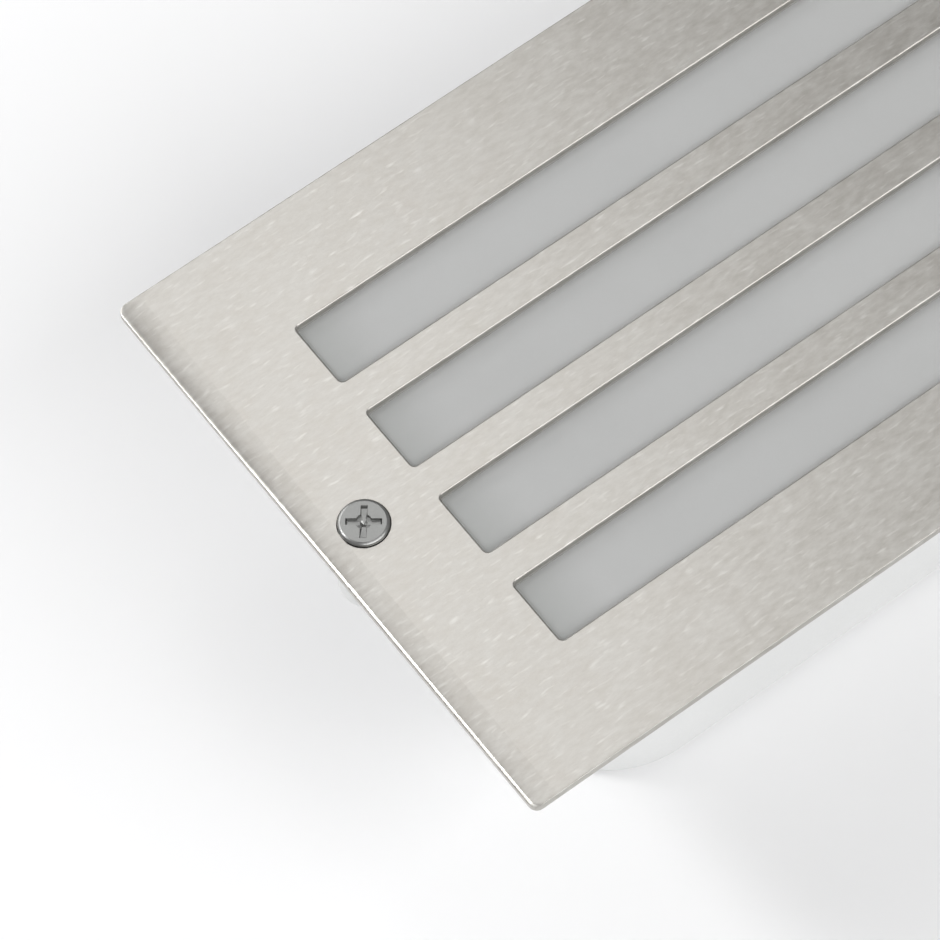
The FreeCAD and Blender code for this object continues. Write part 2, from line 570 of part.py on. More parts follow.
def earth_tag():
    """Ring tag bolted to the tray, with a crimped barrel for the earth lead, and its screw."""
    tag = Piece("earth_tag", x="earth_x", y="0 - earth_y")
    tag.pad(tag.circle("tag_radius", "small_screw_radius + 0.1", level="tub_floor_height"),
            "tag_thickness", down=True)
    tag.pad(tag.rectangle("tag_neck", "2 * tag_barrel_radius", level="tub_floor_height",
                          x="0 - tag_radius - tag_neck / 2 + 1"), "tag_thickness", down=True)
    tag.pad(tag.circle("tag_barrel_radius", "lead_radius + lead_fit", plane="YZ_Plane",
                       y="tub_floor_height - tag_thickness - tag_barrel_radius + 0.3",
                       level="0 - tag_radius - tag_neck"), "tag_barrel_length")
    screw = Piece("earth_screw", x="earth_x", y="0 - earth_y")
    screw.revolve(screw.outline(
        pan_head_screw("(tub_floor_height - tag_thickness)", f"{TRAY_FLOOR} - 0.2", hanging=True),
        plane="XZ_Plane"))


def lead(label, corners):
    """One insulated lead: straight runs joined by tangent arcs, each as large as its runs allow."""
    points = [FreeCAD.Vector(*corner) for corner in corners]
    edges, last = [], points[0]
    for before, here, after in zip(points, points[1:], points[2:]):
        inward, outward = (before - here).normalize(), (after - here).normalize()
        turn = math.pi - inward.getAngle(outward)
        setback = 0.45 * min((before - here).Length, (after - here).Length)
        radius = setback / math.tan(turn / 2)
        bisector = (inward + outward).normalize()
        centre = here + bisector * math.hypot(radius, setback)
        start, end = here + inward * setback, here + outward * setback
        middle = centre - bisector * radius
        edges += [Part.LineSegment(last, start).toShape(), Part.Arc(start, middle, end).toShape()]
        last = end
    edges.append(Part.LineSegment(last, points[-1]).toShape())
    spine = Part.Wire(edges)
    ring = Part.makeCircle(cell("lead_radius"), points[0], points[1] - points[0])
    piece = doc.addObject("Part::Feature", label)
    piece.Label = label
    piece.Shape = spine.makePipeShell([Part.Wire([ring])], True, False)
    piece.Placement = FreeCAD.Placement()
    pieces.append(piece)


def leads():
    """Mains leads from the terminals to the driver, earth to its tag, and the board's two leads."""
    pole_height = cell("tub_floor_height") - cell("block_gap") - cell("block_height") / 2
    tube_end = cell("tube_length") / 2 - 1
    driver_end = cell("driver_x") + cell("driver_length") / 2
    driver_start = cell("driver_x") - cell("driver_length") / 2
    lead_exit = cell("tub_floor_height") - cell("driver_lid_thickness") - cell("driver_depth") / 2
    for label, pole, sweep in (("live_lead", -1, 11), ("neutral_lead", 0, 14.5)):
        x = cell("block_x") + pole * cell("pole_pitch")
        lead(label, [(x, -tube_end, pole_height), (x, -sweep, pole_height),
                     (driver_end + cell("lead_approach"), -sweep, lead_exit), (driver_end, -sweep, lead_exit)])
    x = cell("block_x") + cell("pole_pitch")
    tag_x = cell("earth_x") - cell("tag_radius") - cell("tag_neck")
    tag_z = cell("tub_floor_height") - cell("tag_thickness") - cell("tag_barrel_radius") + 0.3
    tag_y = -cell("earth_y")
    lead("earth_lead", [(x, -tube_end, pole_height), (x, tag_y, pole_height),
                        (x + 6, tag_y, tag_z), (tag_x + 3, tag_y, tag_z)])
    board_top = cell("tub_floor_height") + cell("tray_wall") + cell("pad_thickness") + cell("board_thickness")
    for label, y in (("positive_lead", 2), ("negative_lead", -2)):
        lead(label, [(driver_start, y, lead_exit), (-cell("grommet_x"), y, lead_exit),
                     (-cell("grommet_x"), y, board_top + 7),
                     (-cell("board_length") / 2 + 5, y, board_top + cell("lead_radius") + 0.1)])


def box_gasket():
    """Foam frame on the box flange, under the tray rim."""
    gasket = Piece("box_gasket")
    gasket.pad(gasket.rectangle("rim_length - 2 * gasket_inset", "rim_width - 2 * gasket_inset",
                                "rim_corner - gasket_inset", level=BOX_TOP), "gasket_thickness")
    gasket.pocket(gasket.rectangle("gasket_opening_length", "gasket_opening_width",
                                   "gasket_opening_corner", level=RIM_BACK), "gasket_thickness")
    hole = gasket.pocket(gasket.circle("screw_clearance_radius + 0.3", level=RIM_BACK, x=SCREW_X),
                         "gasket_thickness")
    gasket.mirror([hole], "YZ_Plane")


def recess_housing():
    """White moulded wall box: drafted tub with a flange, gussets, screw bosses, cable entries
    at both ends, and slots and knock-outs in its back."""
    box = Piece("recess_housing")
    box.loft(box.rectangle("box_back_length - 2 * box_back_edge", "box_back_width - 2 * box_back_edge",
                           "box_back_corner - box_back_edge"),
             box.rectangle("box_back_length", "box_back_width", "box_back_corner", level="box_back_edge"),
             box.rectangle("box_length", "box_width", "box_corner", level=BOX_TOP))
    box.pad(box.rectangle("rim_length", "rim_width", "rim_corner", level=FLANGE_BACK), "flange_thickness")
    # screw bosses under the flange, each tied to the end wall by a web
    web = box.pad(box.rectangle("boss_radius * 2", "boss_web", x=f"{SCREW_X} - boss_radius",
                                level=FLANGE_BACK), "boss_depth", down=True)
    boss = box.pad(box.circle("boss_radius", x=SCREW_X, level=FLANGE_BACK), "boss_depth", down=True)
    # flat pads that carry the cable entries
    entry = box.pad(box.circle("entry_pad_radius", plane="YZ_Plane", y="entry_height", level="entry_face"),
                    "entry_thickness", down=True)
    box.mirror([web, boss, entry], "YZ_Plane")
    # each gusset runs right across, and the cavity leaves its two ends under the flange
    toe, root = f"{FLANGE_BACK} - gusset_toe", f"{FLANGE_BACK} - gusset_height"
    gusset = box.pad(box.outline([
        ("0 - gusset_reach", FLANGE_BACK), ("0 - gusset_reach", toe), ("0 - gusset_root", root),
        ("gusset_root", root), ("gusset_reach", toe), ("gusset_reach", FLANGE_BACK)],
        plane="YZ_Plane", level="0 - gusset_pitch * (gusset_count - 1) / 2"),
        "gusset_thickness", middle=True)
    box.row(gusset, "gusset_count", "gusset_pitch * (gusset_count - 1)", "N_Axis")
    box.loft(box.rectangle("box_length - 2 * box_wall", "box_width - 2 * box_wall",
                           "box_corner - box_wall", level=BOX_TOP),
             box.rectangle("box_back_length - 2 * box_wall + 0.4", "box_back_width - 2 * box_wall + 0.4",
                           "box_back_corner - box_wall", level="box_floor"), cut=True)
    box_details(box)


def box_details(box):
    """What stands on and goes through the box's walls, after its cavity is cut."""
    # the cable entries' pads also stand in from the end walls
    inner_pad = box.pad(box.circle("entry_pad_radius - 1", plane="YZ_Plane", y="entry_height",
                                   level="entry_face"), "entry_thickness", down=True)
    box.mirror([inner_pad], "YZ_Plane")
    entry_hole = box.pocket(box.circle("entry_hole_radius", plane="YZ_Plane", y="entry_height",
                                       level="entry_face"), "entry_thickness")
    box.mirror([entry_hole], "YZ_Plane")
    # blind holes for the threaded inserts, deeper than the screws reach
    seat = box.pocket(box.circle("insert_radius", x=SCREW_X, level=BOX_TOP), "insert_height")
    relief = box.pocket(box.circle("boss_bore", x=SCREW_X, level=BOX_TOP), "insert_height + 1.5")
    box.mirror([seat, relief], "YZ_Plane")
    # slotted fixing holes in the back, on raised pads
    pad = box.pad(box.circle("fixing_pad_radius", level="box_floor", x="0 - fixing_spacing / 2"),
                  "fixing_pad_height")
    slot = box.pocket(box.slot("fixing_slot_length", "fixing_slot_width", x="0 - fixing_spacing / 2",
                               level="box_floor + fixing_pad_height"), "box_floor + fixing_pad_height")
    box.mirror([pad, slot], "YZ_Plane")
    # scored knock-outs in the back for a rear cable entry
    score = box.pocket(box.circle("knockout_radius", "knockout_radius - knockout_groove",
                                  x="0 - knockout_spacing / 2"), "knockout_depth", up=True)
    box.row(score, "2", "knockout_spacing")


def threaded_inserts():
    """Two brass inserts pressed into the box's bosses."""
    inserts = Piece("threaded_inserts", z=f"{BOX_TOP} - insert_height")
    insert = inserts.revolve(inserts.outline([
        ("insert_bore", "0"), ("insert_radius", "0"), ("insert_radius", "insert_height * 0.4"),
        ("insert_groove", "insert_height * 0.4"), ("insert_groove", "insert_height * 0.6"),
        ("insert_radius", "insert_height * 0.6"), ("insert_radius", "insert_height"),
        ("insert_bore", "insert_height")], plane="XZ_Plane", x=f"0 - {SCREW_X}"))
    inserts.row(insert, "2", f"2 * {SCREW_X}")


def cable_gland():
    """Compression gland in the right-hand entry: washer, body, locknut, rubber seal, dome nut.

    Each is modelled along its own Z axis, from the entry's outer face, and laid along +X."""
    def along_x(label):
        return Piece(label, x="entry_face", z="entry_height", tilt=90)

    washer_top = "gland_washer_thickness"
    hex_top = f"({washer_top} + gland_hex_height)"
    collar_top = f"({hex_top} + gland_collar_length)"
    cup_floor = f"({collar_top} - gland_cup_depth)"
    washer = along_x("gland_washer")
    washer.pad(washer.circle("gland_washer_radius", "gland_thread_radius"), "gland_washer_thickness")
    body = along_x("gland_body")
    body.pad(body.circle("gland_thread_radius", level="0 - gland_thread_length"),
             f"gland_thread_length + {washer_top}")
    body.pad(body.hexagon("gland_flats", level=washer_top), "gland_hex_height")
    body.pad(body.circle("gland_collar_radius", level=hex_top), "gland_collar_length")
    body.pocket(body.circle("gland_bore", level=collar_top), f"{collar_top} + gland_thread_length")
    body.pocket(body.circle("gland_cup_radius", level=collar_top), "gland_cup_depth")
    locknut = along_x("gland_locknut")
    locknut.pad(locknut.hexagon("gland_flats", "gland_thread_radius", level="0 - entry_thickness"),
                "locknut_height", down=True)
    seal = along_x("gland_seal")
    seal.revolve(seal.outline([
        ("seal_bore", f"{cup_floor} + 0.2"), ("seal_radius", f"{cup_floor} + 0.2"),
        ("seal_radius", f"{cup_floor} + seal_length - seal_nose_length"),
        ("seal_nose_radius", f"{cup_floor} + seal_length"), ("seal_bore", f"{cup_floor} + seal_length")],
        plane="XZ_Plane"))
    nut = along_x("gland_nut")
    end = "(nut_skirt + nut_length)"
    shoulder = "(nut_skirt + nut_length / 2)"
    nut.pad(nut.hexagon("gland_flats", level="nut_skirt"), "nut_length / 2")
    nut.revolve(nut.outline([
        ("0", "nut_skirt"), ("nut_dome_radius", "nut_skirt"), ("nut_dome_radius", f"{shoulder} + 2"),
        ("nut_dome_radius - 0.6", f"{shoulder} + 4"), ("nut_nose_radius", end), ("0", end)],
        plane="XZ_Plane"))
    bore_top = "(nut_skirt + nut_thread_length)"
    nut.revolve(nut.outline([
        ("0", "nut_skirt"), ("nut_bore", "nut_skirt"), ("nut_bore", bore_top),
        ("nut_mouth", f"{bore_top} + nut_cone_length"), ("nut_mouth", end), ("0", end)],
        plane="XZ_Plane"), cut=True)


def blanking_plug():
    """Slotted plug and its washer, which close the left-hand entry."""
    washer = Piece("plug_washer", x="0 - entry_face", z="entry_height", tilt=-90)
    washer.pad(washer.circle("plug_head_radius", "entry_hole_radius"), "gland_washer_thickness")
    plug = Piece("blanking_plug", x="0 - entry_face", z="entry_height", tilt=-90)
    head_top = "(gland_washer_thickness + plug_head_height)"
    plug.pad(plug.circle("plug_head_radius", level="gland_washer_thickness"), "plug_head_height")
    plug.round_edges("plug_head_height / 3", lies_at(
        cell("gland_washer_thickness") + cell("plug_head_height")))
    plug.pad(plug.circle("gland_thread_radius", level="gland_washer_thickness"), "plug_length", down=True)
    plug.pocket(plug.rectangle("plug_slot_length", "plug_slot_width", level=head_top), "plug_slot_depth")
    plug.pocket(plug.circle("plug_hollow_radius", level="gland_washer_thickness - plug_length"),
                "plug_hollow_depth", up=True)


face_plate()
stud_nuts()
for side, place in (("left", f"0 - {SCREW_X}"), ("right", SCREW_X)):
    face_screw(side, place, f"{side}_drive_angle")
    screw_seal(side, place)
lens()
lens_seal()
lamp_tray()
light_board()
lead_grommet()
driver()
terminals()
earth_tag()
leads()
box_gasket()
recess_housing()
threaded_inserts()
cable_gland()
blanking_plug()
doc.recompute()

for thing in doc.Objects:
    if {"Invalid", "Error"} & set(thing.State):
        raise RuntimeError(f"{thing.Label} failed: {thing.State}")
for piece in pieces:
    if piece.Shape.isNull() or not piece.Shape.isValid():
        raise RuntimeError(f"{piece.Label} has no valid shape")

os.makedirs("parts", exist_ok=True)
for piece in pieces:
    piece.Shape.exportStep(f"parts/{piece.Label}.step")
    print(f"{piece.Label}: {len(piece.Shape.Solids)} solid(s), {piece.Shape.Volume:.0f} mm3")
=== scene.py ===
import bmesh
import bpy
import math
from mathutils import Matrix, Quaternion, Vector
from mathutils.geometry import tessellate_polygon


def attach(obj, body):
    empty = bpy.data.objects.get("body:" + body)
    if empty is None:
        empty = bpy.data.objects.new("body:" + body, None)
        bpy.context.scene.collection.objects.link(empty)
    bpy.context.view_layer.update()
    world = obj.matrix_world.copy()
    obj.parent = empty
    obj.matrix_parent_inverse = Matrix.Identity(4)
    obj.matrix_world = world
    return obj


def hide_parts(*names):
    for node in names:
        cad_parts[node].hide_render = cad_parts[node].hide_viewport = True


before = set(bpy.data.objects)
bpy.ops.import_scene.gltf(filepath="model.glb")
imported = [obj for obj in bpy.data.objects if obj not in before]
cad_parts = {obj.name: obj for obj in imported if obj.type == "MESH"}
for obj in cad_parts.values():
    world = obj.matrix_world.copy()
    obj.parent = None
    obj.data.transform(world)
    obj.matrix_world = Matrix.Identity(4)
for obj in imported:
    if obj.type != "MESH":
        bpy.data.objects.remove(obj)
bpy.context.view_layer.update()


# ---- The photographer's view ----
# A long lens about 0.82 m from the left end of the light, 29 degrees off the face plate's normal
# and turned a little about its own axis, so the plate runs off the frame at the upper right.
camera_place = Vector((-0.30602, -0.33806, 0.77926))
camera_target = Vector((-0.09934, -0.00241, 0.056))
camera_roll = math.radians(-5.606)
camera = bpy.data.objects.new("camera", bpy.data.cameras.new("camera"))
bpy.context.scene.collection.objects.link(camera)
camera.data.lens = 213.636
camera.data.sensor_width = 36
camera.data.sensor_fit = "HORIZONTAL"
camera.data.clip_start = 0.05
aim = (camera_target - camera_place).to_track_quat("-Z", "Y")
camera.matrix_world = (Matrix.Translation(camera_place)
                       @ (aim @ Quaternion((0, 0, 1), camera_roll)).to_matrix().to_4x4())
bpy.context.scene.camera = camera


# ---- The white table and the studio ----
# A smooth white sheet that the light lies on, in a plain pale room. One soft box behind the light
# is what the brushing catches, and four large dim panels fill in from all round.
panels_aim = Vector((-0.1, 0, 0))
table_reach, table_level = 3, -0.0002


def panel_light(name, place, size, power):
    lamp = bpy.data.lights.new(name, "AREA")
    lamp.shape = "RECTANGLE"
    lamp.size, lamp.size_y = size
    lamp.energy = power
    holder = bpy.data.objects.new(name, lamp)
    bpy.context.scene.collection.objects.link(holder)
    turn = (panels_aim - Vector(place)).to_track_quat("-Z", "Y")
    holder.matrix_world = Matrix.Translation(place) @ turn.to_matrix().to_4x4()


panel_light("soft_box", (0.22, 0.6, 1.3), (0.28, 0.5), 0.86)
panel_light("panel_above", (0.15, 0.2, 1.4), (1.2, 1.0), 1.35)
panel_light("panel_left", (-0.95, 0.85, 1.35), (0.35, 0.35), 7.6)
panel_light("panel_behind", (-0.35, 1.6, 0.9), (1.2, 0.6), 8.7)
panel_light("panel_front", (0.0, -1.35, 1.5), (2.4, 1.1), 26)

room = bpy.data.worlds.new("pale_room")
room.use_nodes = True
backdrop = room.node_tree.nodes["Background"]
backdrop.inputs["Color"].default_value = (1, 1, 1, 1)
backdrop.inputs["Strength"].default_value = 0.35
bpy.context.scene.world = room
bpy.context.scene.view_settings.view_transform = "Standard"

white_table = bpy.data.materials.new("white_table")
white_table.use_nodes = True
table_shader = white_table.node_tree.nodes["Principled BSDF"]
table_shader.inputs["Base Color"].default_value = (0.9, 0.9, 0.905, 1)
table_shader.inputs["Roughness"].default_value = 0.6
table_mesh = bpy.data.meshes.new("table")
table_corners = [(table_reach * x, table_reach * y, table_level)
                 for x, y in ((-1, -1), (1, -1), (1, 1), (-1, 1))]
table_mesh.from_pydata(table_corners, [], [(0, 1, 2, 3)])
table_mesh.materials.append(white_table)
table = bpy.data.objects.new("table", table_mesh)
bpy.context.scene.collection.objects.link(table)


# ---- Face plate ----
# Stainless sheet, 1.5 mm thick, blanked with four long slots and two countersunk holes and brushed
# along its length. Its two ends are dressed to a soft roll, and six threaded studs are welded to
# its back for the lamp tray.
plate_length, plate_width, plate_corner = 0.25, 0.105, 0.0015
plate_face, plate_back = 0.056, 0.0545
back_break, wall_foot = 0.00004, 0.00145
slot_length, slot_width, slot_corner = 0.2113, 0.012, 0.0008
slot_rows = [0.0182 * (row - 1.5) for row in range(4)]
slot_break, sheared_depth = 0.0003, 0.0009
screw_x = 0.117
countersink_top, countersink_bottom, mouth_break, mouth_land = 0.00403, 0.0027, 0.00006, 0.00018
stud_x, stud_y, stud_radius, stud_length, stud_sunk = 0.075, 0.0412, 0.0015, 0.005, 0.0003
m3_pitch, stud_thread = 0.0005, 0.00025


def round_rectangle(length, width, corner, inset=0.0, centre=(0.0, 0.0), steps=8):
    """Points anticlockwise round a rectangle with rounded corners, moved in by inset."""
    radius = max(corner - inset, 1e-5)
    reach_x, reach_y = length / 2 - inset - radius, width / 2 - inset - radius
    points = []
    for quarter, (sx, sy) in enumerate(((1, 1), (-1, 1), (-1, -1), (1, -1))):
        for step in range(steps + 1):
            angle = math.pi / 2 * (quarter + step / steps)
            points.append((centre[0] + sx * reach_x + radius * math.cos(angle),
                           centre[1] + sy * reach_y + radius * math.sin(angle)))
    return points


def circle(radius, centre=(0.0, 0.0), steps=64):
    turns = [2 * math.pi * step / steps for step in range(steps)]
    return [(centre[0] + radius * math.cos(turn), centre[1] + radius * math.sin(turn))
            for turn in turns]


def add_loop(mesh, points, height):
    return [mesh.verts.new((x, y, height)) for x, y in points]


def join_loops(mesh, loops):
    """Quads between neighbouring loops that have as many points each."""
    for low, high in zip(loops, loops[1:]):
        count = len(low)
        for i in range(count):
            mesh.faces.new((low[i], low[(i + 1) % count], high[(i + 1) % count], high[i]))


def fill_between(mesh, outer, holes):
    """Triangles between an outer loop and the holes in it."""
    rings = [outer, *holes]
    corners = [vertex for ring in rings for vertex in ring]
    for triangle in tessellate_polygon([[vertex.co for vertex in ring] for ring in rings]):
        mesh.faces.new([corners[i] for i in triangle])


def smooth_where_round(mesh, angle):
    """Smooth shading over faces of four corners, up to edges sharper than the angle."""
    mesh.set_sharp_from_angle(angle=math.radians(angle))
    mesh.polygons.foreach_set("use_smooth", [len(face.vertices) == 4 for face in mesh.polygons])


def finished_mesh(shape, name, angle):
    """The shape as a mesh, with its faces turned outward; the shape itself is given up."""
    bmesh.ops.recalc_face_normals(shape, faces=shape.faces)
    mesh = bpy.data.meshes.new(name)
    shape.to_mesh(mesh)
    shape.free()
    smooth_where_round(mesh, angle)
    return mesh


def threaded_rod(mesh, radius, depth, pitch, low, high, centre=(0.0, 0.0), sides=20):
    """A closed rod with one helical thread cut into it, chamfered at both ends."""
    rows_a_turn, chamfer = 6, 0.5 * pitch
    rows = math.ceil((high - low) / pitch * rows_a_turn)
    loops = []
    for row in range(rows + 1):
        height = low + (high - low) * row / rows
        end_cut = depth * max(0.0, 1 - min(height - low, high - height) / chamfer)
        points = []
        for side in range(sides):
            phase = (height / pitch - side / sides) % 1
            reach = radius - max(depth * abs(2 * phase - 1), end_cut)
            turn = 2 * math.pi * side / sides
            points.append((centre[0] + reach * math.cos(turn), centre[1] + reach * math.sin(turn)))
        loops.append(add_loop(mesh, points, height))
    join_loops(mesh, loops)
    mesh.faces.new(loops[0])
    mesh.faces.new(loops[-1])


def rolled_edge(stretches):
    """How far in and how far down an edge runs, side first, from each stretch's length in
    millimetres and its tilt in degrees."""
    steps = [(0.001 * length * math.cos(math.radians(tilt)),
              0.001 * length * math.sin(math.radians(tilt))) for length, tilt in stretches]
    course = [(0.0, sum(down for _, down in steps))]
    for across, down in steps:
        course.append((course[-1][0] + across, course[-1][1] - down))
    return course


# Each end is dressed to a long, shallow roll in its +Y half and a short, steep one in its -Y half;
# the long sides are only broken. Between the two rolls the ends have rows of points of their own.
long_roll = rolled_edge([
    (0.03, 84), (0.02, 66), (0.02, 50), (0.03, 38), (0.05, 29), (0.06, 22), (0.25, 16), (0.2, 14.5),
    (0.15, 10), (0.25, 7.5), (0.4, 5.5), (0.6, 4.2), (0.9, 3), (1.3, 1.5)])
short_roll = rolled_edge([
    (0.03, 84), (0.02, 66), (0.02, 50), (0.03, 38), (0.06, 31), (0.14, 27), (0.14, 25), (0.16, 23),
    (0.03, 15), (0.03, 8), (0.1, 5), (0.6, 3.5), (1.0, 3), (1.8, 2)])
broken_side = rolled_edge([
    (0.02, 84), (0.02, 72), (0.015, 60), (0.015, 48), (0.015, 38), (0.015, 28), (0.02, 20),
    (0.02, 14), (0.03, 9), (0.05, 5), (0.05, 3), (0.05, 2), (0.05, 1), (0.05, 0)])
change_rows = (0.03, 0.022, 0.014, 0.006, -0.002, -0.01)
corner_steps, corner_fade = 8, 0.7
outline = []
corners = round_rectangle(plate_length, plate_width, plate_corner, steps=corner_steps)
for point, (x, y) in enumerate(corners):
    quarter, step = divmod(point, corner_steps + 1)
    end_share = abs(math.cos(math.pi / 2 * (quarter + step / corner_steps))) ** corner_fade
    outline.append((x, y, end_share))
    if quarter in (1, 3) and step == corner_steps:
        outline += [(x, row, 1.0) for row in (change_rows if x < 0 else reversed(change_rows))]
plate = bmesh.new()
# The slots' walls are sheared bright near the face and torn below, and are painted paler towards
# the back as light bounced up from the lens.
torn_band_and_bounce_light = plate.verts.layers.float.new("torn_band_and_bounce_light")
rim = [[plate.verts.new((x - math.copysign(inset, x), y - math.copysign(inset, y), level))
        for x, y, _ in outline]
       for inset, level in ((back_break, plate_back), (0, plate_face - wall_foot))]
for long_step, short_step, side_step in zip(long_roll, short_roll, broken_side):
    loop = []
    for x, y, end_share in outline:
        long_share = min(max((y - change_rows[-1]) / (change_rows[0] - change_rows[-1]), 0), 1)
        inset, drop = [long_share * a + (1 - long_share) * b for a, b in zip(long_step, short_step)]
        loop.append(plate.verts.new((
            x - math.copysign(inset, x), y - math.copysign(side_step[0], y),
            plate_face - end_share * drop - (1 - end_share) * side_step[1])))
    rim.append(loop)
join_loops(plate, rim)
top_holes, back_holes = [], []
slot_course = [(slot_break * out, plate_face - slot_break * down)
               for out, down in ((1, 0), (0.62, 0.08), (0.3, 0.3), (0.08, 0.62), (0, 1))]
slot_course += [(0, plate_face - sheared_depth), (0, plate_back)]
for y in slot_rows:
    wall = [add_loop(plate, round_rectangle(slot_length, slot_width, slot_corner, -out, (0, y), 6),
                     level) for out, level in slot_course]
    for vertex in wall[-1]:
        vertex[torn_band_and_bounce_light] = 1.0
    join_loops(plate, wall)
    top_holes.append(wall[0])
    back_holes.append(wall[-1])
for x in (-screw_x, screw_x):
    cone = [add_loop(plate, circle(radius, (x, 0)), level)
            for radius, level in ((countersink_top + mouth_break, plate_face),
                                  (countersink_top, plate_face - mouth_break),
                                  (countersink_top, plate_face - mouth_land),
                                  (countersink_bottom, plate_back))]
    join_loops(plate, cone)
    top_holes.append(cone[0])
    back_holes.append(cone[-1])
fill_between(plate, rim[-1], top_holes)
fill_between(plate, rim[0], back_holes)
for x in (-stud_x, 0, stud_x):
    for y in (-stud_y, stud_y):
        threaded_rod(plate, stud_radius, stud_thread, m3_pitch, plate_back - stud_length,
                     plate_back + stud_sunk, (x, y))
# The brushing runs along X, and the map's first way across it. Height counts a little in both,
# so that the slots' walls have a direction too.
brushing = plate.loops.layers.uv.new("brushing")
map_scale, across_lean, along_lean = 4, 0.5, 0.3
for face in plate.faces:
    for corner in face.loops:
        x, y, z = corner.vert.co
        corner[brushing].uv = (map_scale * (y + across_lean * z), map_scale * (x + along_lean * z))
plate_mesh = finished_mesh(plate, "plate_sheet", 24)


def add_node(tree, kind, links=(), **settings):
    """A node with its settings made and its inputs linked, or set, by name or number."""
    node = tree.nodes.new(kind)
    for setting, value in settings.items():
        setattr(node, setting, value)
    for socket, source in dict(links).items():
        if isinstance(source, bpy.types.NodeSocket):
            tree.links.new(source, node.inputs[socket])
        else:
            node.inputs[socket].default_value = source
    return node


# Fine grain stretched along X and soft clouds, each from 0 to 1, and the two mixed as Tone.
# Along, Across and Clouds count the features in a metre.
grain = bpy.data.node_groups.new("surface_grain", "ShaderNodeTree")
grain.interface.new_socket("Place", in_out="INPUT", socket_type="NodeSocketVector")
for title in ("Along", "Across", "Clouds", "Cloud Share"):
    grain.interface.new_socket(title, in_out="INPUT", socket_type="NodeSocketFloat")
for title in ("Grain", "Tone"):
    grain.interface.new_socket(title, in_out="OUTPUT", socket_type="NodeSocketFloat")
given = add_node(grain, "NodeGroupInput").outputs
stretch = add_node(grain, "ShaderNodeCombineXYZ", {"X": given["Along"], "Y": given["Across"],
                                                   "Z": given["Across"]})
stretched = add_node(grain, "ShaderNodeVectorMath", {0: given["Place"], 1: stretch.outputs[0]},
                     operation="MULTIPLY")
noises = (add_node(grain, "ShaderNodeTexNoise", {
              "Vector": stretched.outputs[0], "Scale": 1.0, "Detail": 3.0, "Roughness": 0.6}),
          add_node(grain, "ShaderNodeTexNoise", {
              "Vector": given["Place"], "Scale": given["Clouds"], "Detail": 2.0, "Roughness": 0.5}))
fine, broad = [add_node(grain, "ShaderNodeMapRange", {
    "Value": noise.outputs[0], "From Min": 0.3, "From Max": 0.7}).outputs[0] for noise in noises]
tone = add_node(grain, "ShaderNodeMix", {0: given["Cloud Share"], 2: fine, 3: broad})
add_node(grain, "NodeGroupOutput", {"Grain": fine, "Tone": tone.outputs[0]})


def new_finish(name, dark, light, roughness, metallic=0.0, along=900.0, across=None, clouds=45.0,
               cloud_share=0.5, bump=0.1, depth=0.00003, **constants):
    """A material whose colour and roughness wander between two values over its grain and clouds."""
    material = bpy.data.materials.new(name)
    material.use_nodes = True
    tree = material.node_tree
    shader = tree.nodes["Principled BSDF"]
    for socket, value in {"Metallic": metallic, **constants}.items():
        shader.inputs[socket.replace("_", " ")].default_value = value
    surface = add_node(tree, "ShaderNodeGroup", {
        "Place": add_node(tree, "ShaderNodeTexCoord").outputs["Object"], "Along": along,
        "Across": across or along, "Clouds": clouds, "Cloud Share": cloud_share},
        node_tree=grain).outputs
    colour = add_node(tree, "ShaderNodeMix", {0: surface["Tone"], 6: (*dark, 1), 7: (*light, 1)},
                      data_type="RGBA")
    rough = add_node(tree, "ShaderNodeMapRange", {
        "Value": surface["Tone"], "To Min": roughness[0], "To Max": roughness[1]})
    relief = add_node(tree, "ShaderNodeBump", {
        "Height": surface["Grain"], "Strength": bump, "Distance": depth})
    for source, socket in ((colour.outputs[2], "Base Color"), (rough.outputs[0], "Roughness"),
                           (relief.outputs[0], "Normal")):
        tree.links.new(source, shader.inputs[socket])
    return material


def colour_over(material, share, colour):
    """Lays another colour over what a finish has so far, by a share from 0 to 1."""
    tree = material.node_tree
    base = tree.nodes["Principled BSDF"].inputs["Base Color"]
    mixed = add_node(tree, "ShaderNodeMix", {
        0: share, 6: base.links[0].from_socket, 7: (*colour, 1)}, data_type="RGBA")
    tree.links.new(mixed.outputs[2], base)


def place_piece(name, mesh, body, slot, material, *nodes):
    """A finished piece from a mesh, on its body and in place of its CAD nodes."""
    mesh.materials.clear()
    mesh.materials.append(material)
    piece = bpy.data.objects.new(name, mesh)
    bpy.context.scene.collection.objects.link(piece)
    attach(piece, body)
    if nodes:
        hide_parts(*nodes)
    return piece


brushed = new_finish("brushed_stainless", (0.432, 0.412, 0.380), (0.585, 0.571, 0.540),
                     (0.29, 0.37), metallic=1.0, along=420.0, across=1050.0, clouds=110.0,
                     cloud_share=0.35, bump=0.3, depth=0.00002, Anisotropic=0.7)
# Over the grain lie thin flecks where the abrasive has bitten deeper.
brushed_tree = brushed.node_tree
fleck_place = add_node(brushed_tree, "ShaderNodeMapping", {
    "Vector": add_node(brushed_tree, "ShaderNodeTexCoord").outputs["Object"],
    "Scale": (340, 1500, 1500)})
fleck = add_node(brushed_tree, "ShaderNodeTexNoise", {
    "Vector": fleck_place.outputs[0], "Scale": 1.0, "Detail": 1.0, "Roughness": 0.5})
fleck_mask = add_node(brushed_tree, "ShaderNodeMapRange", {
    "Value": fleck.outputs[0], "From Min": 0.6, "From Max": 0.8, "To Max": 0.6})
colour_over(brushed, fleck_mask.outputs[0], (0.70, 0.69, 0.66))
